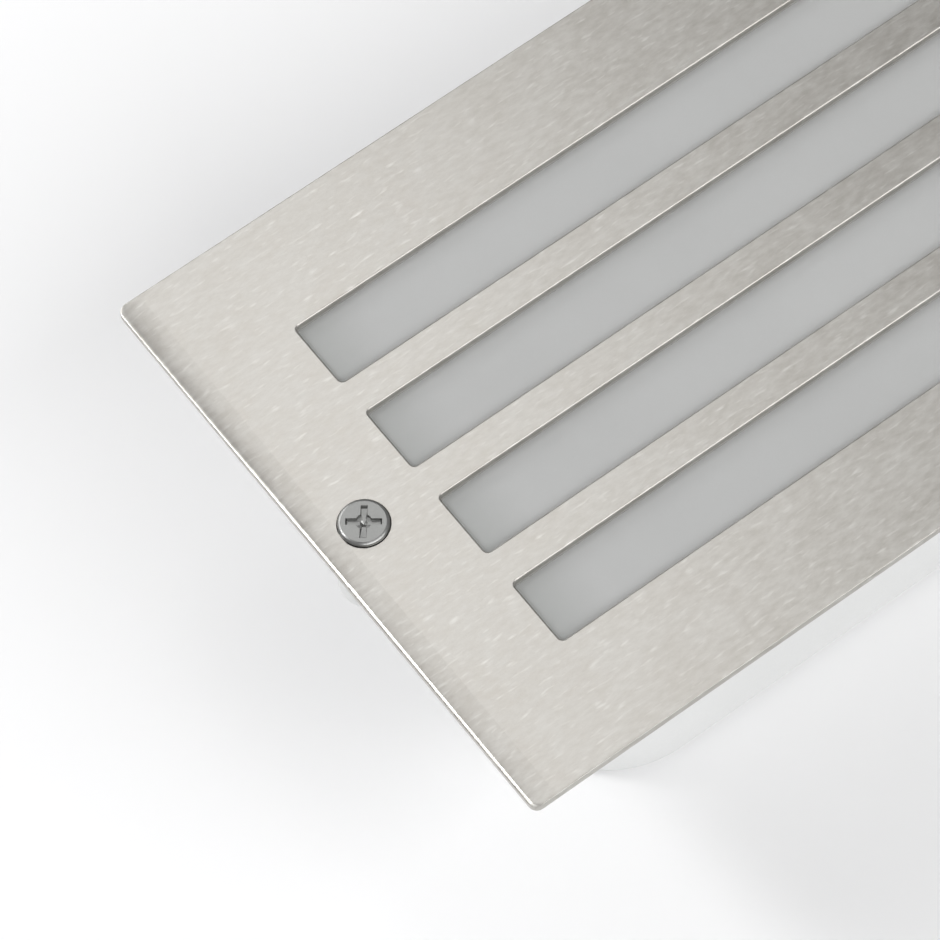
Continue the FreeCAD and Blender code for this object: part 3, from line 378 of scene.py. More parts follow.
# Painted light: the slots' walls turn paler towards the back, standing in for light bounced up from
# the lens over their torn band.
torn_and_bounce_share = add_node(brushed_tree, "ShaderNodeAttribute", attribute_name="torn_band_and_bounce_light")
colour_over(brushed, torn_and_bounce_share.outputs["Fac"], (0.84, 0.83, 0.81))
across_way = add_node(brushed_tree, "ShaderNodeTangent", direction_type="UV_MAP", uv_map="brushing")
brushed_tree.links.new(across_way.outputs[0],
                       brushed_tree.nodes["Principled BSDF"].inputs["Tangent"])
place_piece("plate_sheet", plate_mesh, "light_insert", "brushed_stainless", brushed, "face_plate")


# ---- Stud nuts ----
# Six zinc-plated hexagon nuts, one on each weld stud, in pockets under the tray's rim. They pull
# the tray up against the plate.
nut_flats, nut_bore, nut_low, nut_high = 0.0055, 0.00125, 0.0496, 0.052


def hexagon_nut(mesh, flats, bore, low, high):
    """A nut whose corners are chamfered at both faces and whose bore is countersunk."""
    steps, chamfer_angle = 48, math.radians(30)
    chamfer_reach, countersink = 0.96 * flats / 2, 0.3 * (flats / 2 - bore)
    corners = []
    for step in range(steps):
        off_flat = (2 * math.pi * step / steps + math.pi / 6) % (math.pi / 3) - math.pi / 6
        reach = flats / 2 / math.cos(off_flat)
        corners.append((reach, (reach - chamfer_reach) * math.tan(chamfer_angle)))

    def ring(reach, height):
        return add_loop(mesh, circle(reach, steps=steps), height)

    def corner_ring(height, way):
        return [mesh.verts.new((reach * x, reach * y, height + way * drop))
                for (x, y), (reach, drop) in zip(circle(1.0, steps=steps), corners)]

    loops = [ring(bore, high - countersink), ring(bore + countersink, high),
             ring(chamfer_reach, high), corner_ring(high, -1), corner_ring(low, 1),
             ring(chamfer_reach, low), ring(bore + countersink, low), ring(bore, low + countersink)]
    join_loops(mesh, [*loops, loops[0]])


# Rows of one small piece: what the modifier's object holds is the piece, at the rows' centre in X
# and Y, and each copy may be turned about its own axis by a fixed share of chance.
rows_tree = bpy.data.node_groups.new("rows_of_pieces", "GeometryNodeTree")
rows_sockets = {}
for title, kind, value in (
        ("Columns", "Int", 1), ("Column Pitch", "Float", 0.0), ("Rows", "Int", 1),
        ("Row Pitch", "Float", 0.0), ("Random Turn", "Float", 0.0), ("Finish", "Material", None)):
    socket = rows_tree.interface.new_socket(title, in_out="INPUT", socket_type=f"NodeSocket{kind}")
    if value is not None:
        socket.default_value = value
    rows_sockets[title] = socket.identifier
rows_tree.interface.new_socket("Piece", in_out="INPUT", socket_type="NodeSocketGeometry")
rows_tree.interface.move(rows_tree.interface.items_tree["Piece"], 0)
rows_tree.interface.new_socket("Pieces", in_out="OUTPUT", socket_type="NodeSocketGeometry")
rows_given = add_node(rows_tree, "NodeGroupInput").outputs
lines = []
for count, pitch, axis in (("Columns", "Column Pitch", "X"), ("Rows", "Row Pitch", "Y")):
    step = add_node(rows_tree, "ShaderNodeCombineXYZ", {axis: rows_given[pitch]})
    spaces = add_node(rows_tree, "ShaderNodeMath", {0: rows_given[count], 1: 1.0},
                      operation="SUBTRACT")
    half = add_node(rows_tree, "ShaderNodeMath", {0: spaces.outputs[0], 1: -0.5},
                    operation="MULTIPLY")
    start = add_node(rows_tree, "ShaderNodeVectorMath", {
        0: step.outputs[0], "Scale": half.outputs[0]}, operation="SCALE")
    lines.append(add_node(rows_tree, "GeometryNodeMeshLine", {
        "Count": rows_given[count], "Start Location": start.outputs[0], "Offset": step.outputs[0]}))
field = add_node(rows_tree, "GeometryNodeInstanceOnPoints", {"Points": lines[1].outputs[0],
                                                             "Instance": lines[0].outputs[0]})
places = add_node(rows_tree, "GeometryNodeRealizeInstances", {0: field.outputs[0]})
chance = add_node(rows_tree, "FunctionNodeRandomValue", {"Seed": 7}, data_type="FLOAT")
spin = add_node(rows_tree, "ShaderNodeMath", {0: chance.outputs[1], 1: rows_given["Random Turn"]},
                operation="MULTIPLY")
turned = add_node(rows_tree, "ShaderNodeCombineXYZ", {"Z": spin.outputs[0]})
copies = add_node(rows_tree, "GeometryNodeInstanceOnPoints", {
    "Points": places.outputs[0], "Instance": rows_given["Piece"], "Rotation": turned.outputs[0]})
solid = add_node(rows_tree, "GeometryNodeRealizeInstances", {0: copies.outputs[0]})
finished = add_node(rows_tree, "GeometryNodeSetMaterial", {"Geometry": solid.outputs[0],
                                                           "Material": rows_given["Finish"]})
add_node(rows_tree, "NodeGroupOutput", {0: finished.outputs[0]})


def in_rows(name, piece, finish, centre=(0.0, 0.0), angle=35, **sizes):
    """The plain mesh of a bmesh piece repeated in rows about a centre."""
    bmesh.ops.recalc_face_normals(piece, faces=piece.faces)
    pattern = bpy.data.objects.new(name, bpy.data.meshes.new(name))
    piece.to_mesh(pattern.data)
    piece.free()
    bpy.context.scene.collection.objects.link(pattern)
    rows = pattern.modifiers.new("rows", "NODES")
    rows.node_group = rows_tree
    for title, value in {**sizes, "Finish": finish}.items():
        rows[rows_sockets[title.replace("_", " ")]] = value
    seen = pattern.evaluated_get(bpy.context.evaluated_depsgraph_get())
    mesh = bpy.data.meshes.new_from_object(seen)
    bpy.data.objects.remove(pattern)
    mesh.transform(Matrix.Translation((*centre, 0)))
    smooth_where_round(mesh, angle)
    return mesh


zinc = new_finish("plain_steel", (0.50, 0.52, 0.55), (0.62, 0.63, 0.64), (0.25, 0.4), metallic=1.0,
                  along=1500.0, clouds=500.0, bump=0.08)
nut = bmesh.new()
hexagon_nut(nut, nut_flats, nut_bore, nut_low, nut_high)
nuts = in_rows("stud_nut_set", nut, zinc, Columns=3, Column_Pitch=stud_x, Rows=2,
               Row_Pitch=2 * stud_y)
place_piece("stud_nut_set", nuts, "light_insert", "plain_steel", zinc, "stud_nuts")


# ---- Frosted lens ----
# A 3 mm panel of matted glass behind the slots, held against the plate by its seal. It scatters
# the room's light inside itself, so it darkens towards the bars; towards the ends it has painted
# shade.
lens_length, lens_width, lens_corner, lens_edge = 0.217, 0.0724, 0.005, 0.0003
lens_back, lens_front, lens_clear = 0.0515, 0.0545, 0.00002
painted_shade_start, painted_shade_end = 0.094, 0.1066
lens = bmesh.new()
lens_loops = [add_loop(lens, round_rectangle(lens_length, lens_width, lens_corner, inset), level)
              for inset, level in (
                  (lens_edge, lens_back), (0.0, lens_back + lens_edge),
                  (0.0, lens_front - lens_edge), (lens_edge, lens_front - lens_clear))]
join_loops(lens, lens_loops)
lens.faces.new(lens_loops[0])
lens.faces.new(lens_loops[-1])
frosted = new_finish("frosted_glass", (0.462, 0.466, 0.462), (0.492, 0.496, 0.492), (0.42, 0.5),
                     along=2500.0, clouds=25.0, cloud_share=0.8, bump=0.05, Subsurface_Weight=1.0,
                     Subsurface_Scale=0.0015, Subsurface_Radius=(1.0, 1.0, 1.0))


def from_middle(tree, axis):
    """How far a point is from the middle of the light along an axis."""
    axes = add_node(tree, "ShaderNodeSeparateXYZ", {
        0: add_node(tree, "ShaderNodeTexCoord").outputs["Object"]}).outputs
    return add_node(tree, "ShaderNodeMath", {0: axes[axis]}, operation="ABSOLUTE").outputs[0]


# Painted shade: the lens's colour darkens over its last 12 mm towards each end, where the plate
# shades it.
painted_end_shade = add_node(frosted.node_tree, "ShaderNodeMapRange", {
    "Value": from_middle(frosted.node_tree, "X"), "From Min": painted_shade_start, "From Max": painted_shade_end,
    "To Max": 0.9}, interpolation_type="SMOOTHSTEP")
colour_over(frosted, painted_end_shade.outputs[0], (0.392, 0.4, 0.392))
place_piece("lens_panel", finished_mesh(lens, "lens_panel", 35), "light_insert", "frosted_glass",
            frosted, "lens")


# ---- Lens seal ----
# A flat frame of soft grey silicone, cut from sheet, that lies on the ledge of the lamp tray.
# The lens is pressed on to it when the tray is drawn up against the plate.
def edged_copy(node, name, body, slot, material, width):
    """A piece with its solid's shape, whose facets are joined and whose sharp edges are rounded."""
    sharp, same_place, flat_area = math.radians(35), 1e-6, 0.00012
    source = bmesh.new()
    source.from_mesh(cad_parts[node].data)
    bmesh.ops.remove_doubles(source, verts=source.verts, dist=same_place)
    bmesh.ops.dissolve_limit(source, angle_limit=math.radians(0.3), verts=source.verts,
                             edges=source.edges)
    mesh = bpy.data.meshes.new(name)
    source.to_mesh(mesh)
    source.free()
    mesh.set_sharp_from_angle(angle=sharp)
    mesh.polygons.foreach_set("use_smooth", [face.area < flat_area for face in mesh.polygons])
    piece = place_piece(name, mesh, body, slot, material, node)
    rounding = piece.modifiers.new("rounding", "BEVEL")
    rounding.width = width
    rounding.segments = 2
    rounding.limit_method = "ANGLE"
    rounding.angle_limit = sharp
    rounding.use_clamp_overlap = True
    rounding.harden_normals = True


silicone = new_finish("grey_silicone", (0.40, 0.41, 0.42), (0.48, 0.49, 0.50), (0.5, 0.6),
                      along=1800.0, clouds=120.0)
edged_copy("lens_seal", "lens_seal_frame", "light_insert", "grey_silicone", silicone, 0.00012)


# ---- Lamp tray ----
# Moulded in glossy white, with a rim that takes the lens in a rebate and a tapered light chamber
# behind it; its floor carries the light board inside and the driver and terminals outside.
tray_white = new_finish("white_enamel", (0.84, 0.84, 0.82), (0.89, 0.89, 0.875), (0.18, 0.28),
                        along=700.0, clouds=60.0, cloud_share=0.7, bump=0.06, depth=0.00005)
edged_copy("lamp_tray", "lamp_tray_moulding", "light_insert", "white_enamel", tray_white, 0.00018)


# ---- Heat pad ----
# A soft grey sheet of filled silicone, 0.4 mm thick. The light board's screws squeeze it against
# the tray's floor.
heat_pad = new_finish("heat_pad_silicone", (0.34, 0.36, 0.40), (0.44, 0.46, 0.50), (0.6, 0.75),
                      along=2600.0, clouds=200.0, bump=0.3)
edged_copy("thermal_pad", "heat_pad", "light_insert", "grey_silicone", heat_pad, 0.00005)


# ---- Light board ----
# An aluminium board under white lacquer. The copper of its two long rows of tracks stands up
# a little under the lacquer, along the packages.
package_pitch, track_from, track_to, track_height = 0.014, 0.0024, 0.0026, 0.00007
board_white = new_finish("white_board", (0.84, 0.845, 0.83), (0.90, 0.90, 0.885), (0.28, 0.38),
                         along=1500.0, clouds=150.0, bump=0.05)
board_tree = board_white.node_tree
from_row = add_node(board_tree, "ShaderNodeMath", {
    0: from_middle(board_tree, "Y"), 1: package_pitch / 2}, operation="SUBTRACT")
row_reach = add_node(board_tree, "ShaderNodeMath", {0: from_row.outputs[0]}, operation="ABSOLUTE")
track = add_node(board_tree, "ShaderNodeMapRange", {
    "Value": row_reach.outputs[0], "From Min": track_from, "From Max": track_to, "To Min": 1.0,
    "To Max": 0.0})
track_relief = add_node(board_tree, "ShaderNodeBump", {
    "Height": track.outputs[0], "Strength": 0.8, "Distance": track_height})
board_tree.links.new(track_relief.outputs[0], board_tree.nodes["Principled BSDF"].inputs["Normal"])
edged_copy("led_board", "light_board", "light_insert", "white_board", board_white, 0.0001)


# ---- Light packages ----
# Twenty-four moulded packages, 3.5 by 2.8 mm, in two rows on the board. Each is a pale frame round
# a dish of yellow phosphor that lies a little below its top.
package_length, package_width, package_corner, package_edge = 0.0035, 0.0028, 0.00015, 0.00008
package_low, package_high, dish_depth = 0.0336, 0.0343, 0.00015
package = bmesh.new()
package_window = package.faces.layers.float.new("window")
package_loops = [add_loop(package, round_rectangle(package_length, package_width, package_corner,
                                                   inset, steps=3), level)
                 for inset, level in ((0.0, package_low), (0.0, package_high - package_edge),
                                      (package_edge, package_high), (0.00035, package_high),
                                      (0.00045, package_high - dish_depth))]
join_loops(package, package_loops)
package.faces.new(package_loops[0])
package.faces.new(package_loops[-1])[package_window] = 1.0
phosphor = new_finish("led_resin", (0.80, 0.79, 0.74), (0.86, 0.85, 0.80), (0.35, 0.45),
                      along=4000.0, clouds=400.0)
window = add_node(phosphor.node_tree, "ShaderNodeAttribute", attribute_name="window")
colour_over(phosphor, window.outputs["Fac"], (0.86, 0.66, 0.16))
packages = in_rows("light_packages", package, phosphor, Columns=12, Column_Pitch=package_pitch,
                   Rows=2, Row_Pitch=package_pitch)
place_piece("light_packages", packages, "light_insert", "led_resin", phosphor, "led_packages")


# ---- Small pan head screws ----
# M3 zinc-plated screws with a cross recess: four hold the board, two the driver, one the terminal
# block and one the earth tag. The last four hang, with their heads under what they hold.
def drive_recess(mesh, top, span, wing, core, depth, way=1.0, steps=4, wing_share=0.6):
    """A cross recess: returns its loop at the top of the head, and adds its walls and its tip."""
    half, wing_half, edge = span / 2, wing / 2, 0.025 * span
    wing_taper, floor_taper = 0.95, 0.7
    arc_start = math.asin(min(wing_half / core, 0.99))
    rim_points, floor_points = [], []
    for quarter in range(4):
        turn = math.pi / 2 * quarter
        for x, y in ((half, -wing_half), (half, wing_half)):
            rim_points.append((turn, x, y))
            floor_points.append((turn, core / 2, floor_taper * y))
        for step in range(steps + 1):
            angle = arc_start + (math.pi / 2 - 2 * arc_start) * step / steps
            rim_points.append((turn, core * math.cos(angle), core * math.sin(angle)))
            floor_points.append((turn, core / 2 * math.cos(angle), core / 2 * math.sin(angle)))
    loops = [add_loop(mesh, [(scale * (x * math.cos(turn) - y * math.sin(turn)),
                              scale * (x * math.sin(turn) + y * math.cos(turn)))
                             for turn, x, y in points], top - way * down)
             for points, scale, down in ((rim_points, 1 + edge / half, 0), (rim_points, 1.0, edge),
                                         (rim_points, wing_taper, wing_share * depth),
                                         (floor_points, 1.0, depth))]
    join_loops(mesh, loops)
    floor = loops[-1]
    tip = mesh.verts.new((0, 0, top - way * (depth + core / 3)))
    for here, there in zip(floor, floor[1:] + floor[:1]):
        mesh.faces.new((here, there, tip))
    return loops[0]


def pan_head_screw(seat, tip, way=1.0):
    """An M3 pan head screw; way is 1 with its head above its seat and -1 below it."""
    head_height, head_radius, seat_edge = 0.0016, 0.00275, 0.00008
    rod_radius, thread_depth, rod_sunk = 0.0015, 0.00022, 0.0003
    span, wing, core, depth = 0.0031, 0.0006, 0.0008, 0.0011
    screw = bmesh.new()
    crown = seat + way * head_height
    loops = [add_loop(screw, circle(radius, steps=32), level) for radius, level in (
        (0.0017, crown), (0.0021, crown - way * 0.00006), (0.00245, crown - way * 0.00022),
        (0.00267, crown - way * 0.0005), (head_radius, crown - way * 0.0009),
        (head_radius, seat + way * seat_edge), (head_radius - seat_edge, seat))]
    join_loops(screw, loops)
    screw.faces.new(loops[-1])
    fill_between(screw, loops[0], [drive_recess(screw, crown, span, wing, core, depth, way)])
    low, high = sorted((tip, seat + way * rod_sunk))
    threaded_rod(screw, rod_radius, thread_depth, m3_pitch, low, high)
    return screw


board_top, board_screw_tip, board_screw_pitch = 0.0336, 0.0301, 0.042
lid_back, driver_centre, driver_ear_spacing = 0.028, (-0.033, 0.0), 0.088
block_back, block_place = 0.015, (0.041, 0.0)
tag_back, earth_place, hanging_tip = 0.0292, (0.068, -0.014), 0.0314
for name, node, seat, tip, way, centre, columns, pitch in (
        ("board_screw_set", "led_board_screws", board_top, board_screw_tip, 1.0, (0, 0), 4,
         board_screw_pitch),
        ("driver_screw_set", "driver_screws", lid_back, hanging_tip, -1.0, driver_centre, 2,
         driver_ear_spacing),
        ("block_screw", "terminal_block_screw", block_back, hanging_tip, -1.0, block_place, 1, 0.0),
        ("earth_tag_screw", "earth_screw", tag_back, hanging_tip, -1.0, earth_place, 1, 0.0)):
    screws = in_rows(name, pan_head_screw(seat, tip, way), zinc, centre, Columns=columns,
                     Column_Pitch=pitch, Random_Turn=1.6)
    place_piece(name, screws, "light_insert", "plain_steel", zinc, node)


# ---- Lead grommet ----
# A black rubber ring with a groove, snapped into the hole in the tray's floor by hand. The two
# leads of the board pass it tightly.
rubber = new_finish("black_rubber", (0.018, 0.018, 0.018), (0.04, 0.04, 0.04), (0.55, 0.72),
                    along=1800.0, clouds=150.0, bump=0.2)
edged_copy("lead_grommet", "lead_grommet_ring", "light_insert", "black_rubber", rubber, 0.00025)


# ---- Driver ----
# The potted supply for the board: a moulded grey-white case whose lid lies against the tray
# and has an ear at each end for a screw.
driver_plastic = new_finish("driver_plastic", (0.72, 0.72, 0.71), (0.79, 0.79, 0.78), (0.42, 0.55),
                            along=2400.0, clouds=80.0, bump=0.25, depth=0.00004)
for part, width in (("case", 0.0003), ("lid", 0.0002)):
    edged_copy(f"driver_{part}", f"driver_{part}_moulding", "light_insert", "driver_plastic",
               driver_plastic, width)


# ---- Terminal block ----
# Three poles in cream nylon under the tray, on a foot round its fixing screw. The wires are
# clamped in brass tubes by two small slotted screws a pole.
nylon = new_finish("terminal_nylon", (0.74, 0.73, 0.67), (0.83, 0.82, 0.77), (0.35, 0.45),
                   along=1500.0, clouds=90.0, bump=0.12)
edged_copy("terminal_block", "terminal_block_moulding", "light_insert", "terminal_nylon", nylon,
           0.00022)

block_centre, pole_pitch, pole_height = (0.036, 0.0), 0.01, 0.0215
tube_outer, tube_bore, tube_reach, bore_edge, rim_edge = 0.0025, 0.00175, 0.007, 0.0003, 0.0002
tube = bmesh.new()
tube_half = ((tube_bore, tube_reach - bore_edge), (tube_bore + bore_edge, tube_reach),
             (tube_outer - rim_edge, tube_reach), (tube_outer, tube_reach - rim_edge))
tube_loops = [[tube.verts.new((x, along, pole_height + z)) for x, z in circle(radius, steps=32)]
              for radius, along in (*((radius, -reach) for radius, reach in tube_half),
                                    *reversed(tube_half))]
join_loops(tube, [*tube_loops, tube_loops[0]])
brass = new_finish("brass", (0.60, 0.44, 0.19), (0.76, 0.58, 0.30), (0.22, 0.38), metallic=1.0,
                   across=2600.0, clouds=300.0, bump=0.12)
tubes = in_rows("terminal_tube_set", tube, brass, block_centre, Columns=3, Column_Pitch=pole_pitch)
place_piece("terminal_tube_set", tubes, "light_insert", "brass", brass, "terminal_tubes")

clamp_low, clamp_high, clamp_spacing = 0.0155, 0.019, 0.009
clamp_radius, clamp_thread = 0.0015, 0.0002
slot_half, slot_depth, land_radius, land_steps, land_sunk = 0.0003, 0.0007, 0.0014, 12, 0.0001
clamp = bmesh.new()
threaded_rod(clamp, clamp_radius, clamp_thread, m3_pitch, clamp_low + slot_depth, clamp_high)
land_start = math.asin(slot_half / land_radius)
for side in (-1, 1):
    # one of the two lands that stand beside the driver slot
    turns = [land_start + (math.pi - 2 * land_start) * step / land_steps
             for step in range(land_steps + 1)]
    land = [(land_radius * math.cos(turn), side * land_radius * math.sin(turn)) for turn in turns]
    loops = [add_loop(clamp, land, level)
             for level in (clamp_low, clamp_low + slot_depth + land_sunk)]
    join_loops(clamp, loops)
    clamp.faces.new(loops[0])
    clamp.faces.new(loops[1])
clamps = in_rows("clamp_screw_set", clamp, zinc, block_centre, Columns=3, Column_Pitch=pole_pitch,
                 Rows=2, Row_Pitch=clamp_spacing, Random_Turn=2.5)
place_piece("clamp_screw_set", clamps, "light_insert", "plain_steel", zinc, "terminal_screws")


# ---- Earth tag ----
# A ring stamped from tinned brass sheet and held under its screw, with a barrel at one end that
# is crimped on the earth lead.
tinned = new_finish("tinned_brass", (0.58, 0.58, 0.56), (0.71, 0.71, 0.69), (0.3, 0.42),
                    metallic=1.0, along=1500.0, clouds=400.0)
edged_copy("earth_tag", "earth_ring_tag", "light_insert", "tinned_brass", tinned, 0.00008)


# ---- Leads ----
# Five 1.8 mm insulated wires: live and neutral from the terminals to the driver, earth to its tag,
# and red and black from the driver through the grommet to the board.
lead_radius, bend_share = 0.0009, 0.45
lead_tree = bpy.data.node_groups.new("insulated_lead", "GeometryNodeTree")
lead_sockets = {}
for title, kind in (("Route", "Geometry"), ("Radius", "Float"), ("Sides", "Int"),
                    ("Finish", "Material")):
    lead_sockets[title] = lead_tree.interface.new_socket(
        title, in_out="INPUT", socket_type=f"NodeSocket{kind}").identifier
lead_tree.interface.new_socket("Lead", in_out="OUTPUT", socket_type="NodeSocketGeometry")
lead_given = add_node(lead_tree, "NodeGroupInput").outputs
route_line = add_node(lead_tree, "GeometryNodeMeshToCurve", {0: lead_given["Route"]})
bend_here = add_node(lead_tree, "GeometryNodeInputNamedAttribute", {"Name": "bend"},
                     data_type="FLOAT")
bent = add_node(lead_tree, "GeometryNodeFilletCurve", {
    "Curve": route_line.outputs[0], "Radius": bend_here.outputs[0], "Count": 10}, mode="POLY")
ring_line = add_node(lead_tree, "GeometryNodeCurvePrimitiveCircle", {
    "Resolution": lead_given["Sides"], "Radius": lead_given["Radius"]})
way_round = add_node(lead_tree, "GeometryNodeSplineParameter")
marked = add_node(lead_tree, "GeometryNodeStoreNamedAttribute", {
    "Geometry": ring_line.outputs[0], "Name": "round", "Value": way_round.outputs["Factor"]},
    data_type="FLOAT", domain="POINT")
skin = add_node(lead_tree, "GeometryNodeCurveToMesh", {
    "Curve": bent.outputs[0], "Profile Curve": marked.outputs[0], "Fill Caps": True})
whole = add_node(lead_tree, "GeometryNodeRealizeInstances", {0: skin.outputs[0]})
coloured = add_node(lead_tree, "GeometryNodeSetMaterial", {
    "Geometry": whole.outputs[0], "Material": lead_given["Finish"]})
add_node(lead_tree, "NodeGroupOutput", {0: coloured.outputs[0]})

# each route's corners in millimetres
for kind, colour, dark, light, corners in (
        ("live", "brown", (0.13, 0.06, 0.03), (0.19, 0.09, 0.05),
         [(26, -6, 21.5), (26, -11, 21.5), (14, -11, 19.5), (8, -11, 19.5)]),
        ("neutral", "blue", (0.03, 0.11, 0.40), (0.05, 0.16, 0.48),
         [(36, -6, 21.5), (36, -14.5, 21.5), (14, -14.5, 19.5), (8, -14.5, 19.5)]),
        ("earth", "green_yellow", (0.03, 0.26, 0.07), (0.05, 0.33, 0.10),
         [(46, -6, 21.5), (46, -14, 21.5), (52, -14, 28), (61, -14, 28)]),
        ("positive", "red", (0.42, 0.02, 0.02), (0.52, 0.04, 0.04),
         [(-74, 2, 19.5), (-88, 2, 19.5), (-88, 2, 40.6), (-77, 2, 34.6)]),
        ("negative", "black", (0.014, 0.014, 0.014), (0.03, 0.03, 0.03),
         [(-74, -2, 19.5), (-88, -2, 19.5), (-88, -2, 40.6), (-77, -2, 34.6)])):
    insulation = new_finish(f"{colour}_insulation", dark, light, (0.35, 0.45))
    if kind == "earth":
        stripe_place = add_node(insulation.node_tree, "ShaderNodeAttribute", attribute_name="round")
        stripes = add_node(insulation.node_tree, "ShaderNodeMath", {
            0: stripe_place.outputs["Fac"], 1: 0.5, 2: 0.21}, operation="COMPARE")
        colour_over(insulation, stripes.outputs[0], (0.85, 0.68, 0.05))
    corners = [Vector(corner) / 1000 for corner in corners]
    bends = [0.0]
    for before, here, after in zip(corners, corners[1:], corners[2:]):
        turn = math.pi - (before - here).angle(after - here)
        shorter = min((before - here).length, (after - here).length)
        bends.append(bend_share * shorter / math.tan(turn / 2))
    route = bpy.data.meshes.new(f"{kind}_wire")
    route.from_pydata(corners, [(i, i + 1) for i in range(len(corners) - 1)], [])
    route.attributes.new("bend", "FLOAT", "POINT").data.foreach_set("value", [*bends, 0.0])
    wire = bpy.data.objects.new(f"{kind}_wire", route)
    bpy.context.scene.collection.objects.link(wire)
    pull = wire.modifiers.new("lead", "NODES")
    pull.node_group = lead_tree
    for title, value in (("Radius", lead_radius), ("Sides", 20), ("Finish", insulation)):
        pull[lead_sockets[title]] = value
    seen = wire.evaluated_get(bpy.context.evaluated_depsgraph_get())
    mesh = bpy.data.meshes.new_from_object(seen)
    bpy.data.objects.remove(wire)
    smooth_where_round(mesh, 50)
    place_piece(f"{kind}_wire", mesh, "light_insert", f"{colour}_insulation", insulation,
                f"{kind}_lead")


# ---- Face screws ----
# Two captive stainless M4 screws, 16 mm long. The flat head with its cross recess stands 0.7 mm
# above the plate, and the thread goes through the tray's rim into the inserts of the wall box.
screw_steel = new_finish("polished_stainless", (0.27, 0.272, 0.265), (0.33, 0.332, 0.325),
                         (0.30, 0.38), metallic=1.0, along=2500.0, clouds=700.0, bump=0.1)
screw_proud, screw_length, head_foot = 0.0007, 0.016, 0.0016
screw_radius, m4_pitch, m4_thread = 0.002, 0.0007, 0.0004
recess_span, recess_wing, recess_core, recess_depth = 0.0052, 0.001, 0.0012, 0.00065
head_profile = [(0.00342, screw_proud), (0.0035, 0.00068), (0.00368, 0.0006), (0.00382, 0.0005),
                (0.00392, 0.00038), (0.00395, 0.00027), (0.00395, 0.00015), (0.0020, -0.0018),
                (0.0019, -0.0019)]
for side, x, drive_angle in (("left", -screw_x, 52), ("right", screw_x, 17)):
    screw = bmesh.new()
    head = [add_loop(screw, circle(radius, steps=72), plate_face + height)
            for radius, height in head_profile]
    join_loops(screw, head)
    screw.faces.new(head[-1])
    recess = drive_recess(screw, plate_face + screw_proud, recess_span, recess_wing, recess_core,
                          recess_depth, steps=6, wing_share=0.85)
    fill_between(screw, head[0], [recess])
    threaded_rod(screw, screw_radius, m4_thread, m4_pitch, plate_face + screw_proud - screw_length,
                 plate_face - head_foot, sides=32)
    turn = Matrix.Rotation(math.radians(drive_angle), 4, "Z")
    screw.transform(Matrix.Translation((x, 0, 0)) @ turn)
    place_piece(f"{side}_screw", finished_mesh(screw, f"{side}_screw", 30), f"{side}_screw",
                "polished_stainless", screw_steel, f"{side}_face_screw")


# ---- Screw seals ----
# A thin cone of moulded black rubber, pressed between each head and its countersink. It keeps
# water out of the screw's hole.
for side, x in (("left", -screw_x), ("right", screw_x)):
    seal = bmesh.new()
    seal_loops = [add_loop(seal, circle(radius, (x, 0)), plate_face - down)
                  for radius, down in ((0.00283, 0.001), (0.00313, 0.001), (0.00388, 0.00025),
                                       (0.00384, 0.0002), (0.00363, 0.0002))]
    join_loops(seal, [*seal_loops, seal_loops[0]])
    name = f"{side}_seal_cone"
    place_piece(name, finished_mesh(seal, name, 30), f"{side}_seal", "black_rubber", rubber,
                f"{side}_screw_seal")


# ---- Box gasket ----
# A frame of black closed-cell foam, 1.5 mm thick, on the flange of the wall box; the tray's rim
# is drawn down on it by the face screws.
foam = new_finish("black_foam", (0.022, 0.022, 0.022), (0.05, 0.05, 0.05), (0.8, 0.95),
                  along=2200.0, clouds=300.0, bump=0.9, depth=0.0001)
edged_copy("box_gasket", "box_gasket_frame", "wall_box", "black_foam", foam, 0.0002)


# ---- Wall box ----
# Moulded in white plastic with a fine matt skin: a tapered box with round corners, a flange on
# gussets, an entry at each end and slots and scored knock-outs in its back.
box_white = new_finish("white_plastic", (0.80, 0.805, 0.80), (0.86, 0.865, 0.86), (0.45, 0.55),
                       along=2200.0, bump=0.12)
edged_copy("recess_housing", "wall_box_moulding", "wall_box", "white_plastic", box_white, 0.0002)


# ---- Threaded inserts ----
# A knurled brass insert, 6 mm long, pressed into the boss at each end of the wall box for its
# face screw. A groove round its middle lets the plastic grip it.
insert_low, insert_high, insert_radius, insert_groove = 0.0415, 0.0475, 0.003, 0.0027
insert_bore, bore_mouth, insert_edge, knurl_depth = 0.00206, 0.0003, 0.00025, 0.00014
insert = bmesh.new()
insert_loops = []
for share, reach, knurled in (
        (0.04, insert_bore, False), (0, insert_bore + bore_mouth, False),
        (0, insert_radius - insert_edge, False), (0.04, insert_radius, True),
        (0.38, insert_radius, True), (0.41, insert_groove, False), (0.59, insert_groove, False),
        (0.62, insert_radius, True), (0.96, insert_radius, True),
        (1, insert_radius - insert_edge, False), (1, insert_bore + bore_mouth, False),
        (0.96, insert_bore, False)):
    ring = []
    for step, (x, y) in enumerate(circle(1.0, steps=72)):
        radius = reach - (knurl_depth if knurled and step % 3 == 0 else 0)
        ring.append((radius * x, radius * y))
    insert_loops.append(add_loop(insert, ring, insert_low + (insert_high - insert_low) * share))
join_loops(insert, [*insert_loops, insert_loops[0]])
inserts = in_rows("insert_pair", insert, brass, angle=25, Columns=2, Column_Pitch=2 * screw_x)
place_piece("insert_pair", inserts, "wall_box", "brass", brass, "threaded_inserts")


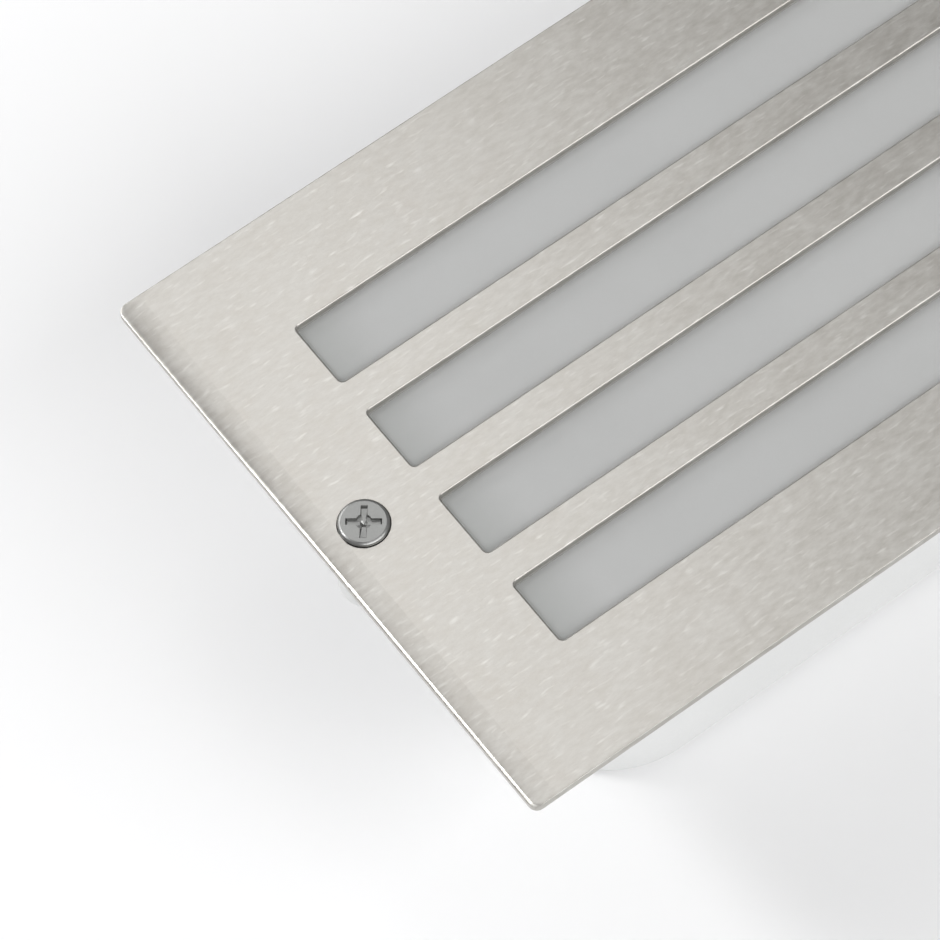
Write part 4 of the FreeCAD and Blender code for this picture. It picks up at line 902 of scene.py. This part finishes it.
# ---- Cable gland ----
# A black nylon compression gland in the right-hand entry: a rubber washer and the hexagon of its
# body outside, a locknut inside, and a dome nut that squeezes a rubber seal on to the cable.
gland_nylon = new_finish("gland_nylon", (0.018, 0.018, 0.02), (0.04, 0.04, 0.044), (0.38, 0.5),
                         along=1800.0, clouds=90.0, bump=0.2)
edged_copy("gland_washer", "gland_washer_ring", "wall_box", "black_rubber", rubber, 0.0002)
edged_copy("gland_seal", "gland_seal_sleeve", "gland_seal_ring", "black_rubber", rubber, 0.0002)
entry_face, entry_height, gland_flats = 0.1095, 0.024, 0.020
# Body, locknut and dome nut are turned about the gland's axis, and their flats are cut afterwards,
# which chamfers the corners. A profile has radii and distances from the entry's face, in mm.
for node, name, body, profile in (
        ("gland_body", "gland_body_moulding", "wall_box", [
            (5.2, -10.3), (5.4, -10.5), (7.4, -10.5), (7.9, -10), (7.9, 1), (9.9, 1), (10.6, 1.15),
            (11.1, 1.3), (11.6, 1.55), (11.6, 5.45), (11.1, 5.7), (10.6, 5.85), (9.9, 6), (7.5, 6),
            (7.5, 14.7), (7.2, 15), (6.5, 15), (6.3, 14.8), (6.3, 8), (5.2, 8)]),
        ("gland_locknut", "gland_locknut_ring", "wall_box", [
            (7.95, -9), (8.2, -9.2), (9.9, -9.2), (10.6, -9.05), (11.6, -8.65), (11.6, -5.75),
            (10.6, -5.35), (9.9, -5.2), (8.2, -5.2), (7.95, -5.4)]),
        ("gland_nut", "gland_dome", "gland_dome_nut", [
            (7.7, 6.7), (7.9, 6.5), (9.9, 6.5), (10.6, 6.65), (11.1, 6.85), (11.6, 7.15),
            (11.6, 12.6), (11.1, 12.85), (10.6, 13.05), (10, 13.25), (9.5, 13.35), (9.4, 13.6),
            (9.4, 15.2), (9.2, 16.1), (8.8, 17.2), (8.2, 18.4), (7.7, 19.4), (7.4, 19.85),
            (7.1, 20), (5.5, 20), (5.25, 19.8), (5.2, 19.5), (5.2, 18.5), (7.7, 15.5)])):
    turned = bmesh.new()
    turned_loops = []
    for radius, along in profile:
        ring = []
        for x, y in circle(1.0, steps=72):
            off_flat = (math.atan2(y, x) + math.pi / 6) % (math.pi / 3) - math.pi / 6
            reach = min(0.001 * radius, gland_flats / 2 / math.cos(off_flat))
            ring.append(turned.verts.new((
                entry_face + 0.001 * along, reach * x, entry_height + reach * y)))
        turned_loops.append(ring)
    join_loops(turned, [*turned_loops, turned_loops[0]])
    place_piece(name, finished_mesh(turned, name, 32), body, "gland_nylon", gland_nylon, node)


# ---- Blanking plug ----
# The left-hand entry is closed by a threaded plug of the same black nylon, hollow behind, on
# a rubber washer.
edged_copy("plug_washer", "plug_washer_disc", "plug_washer_ring", "black_rubber", rubber, 0.0002)
edged_copy("blanking_plug", "entry_plug_moulding", "entry_plug", "gland_nylon", gland_nylon,
           0.00025)
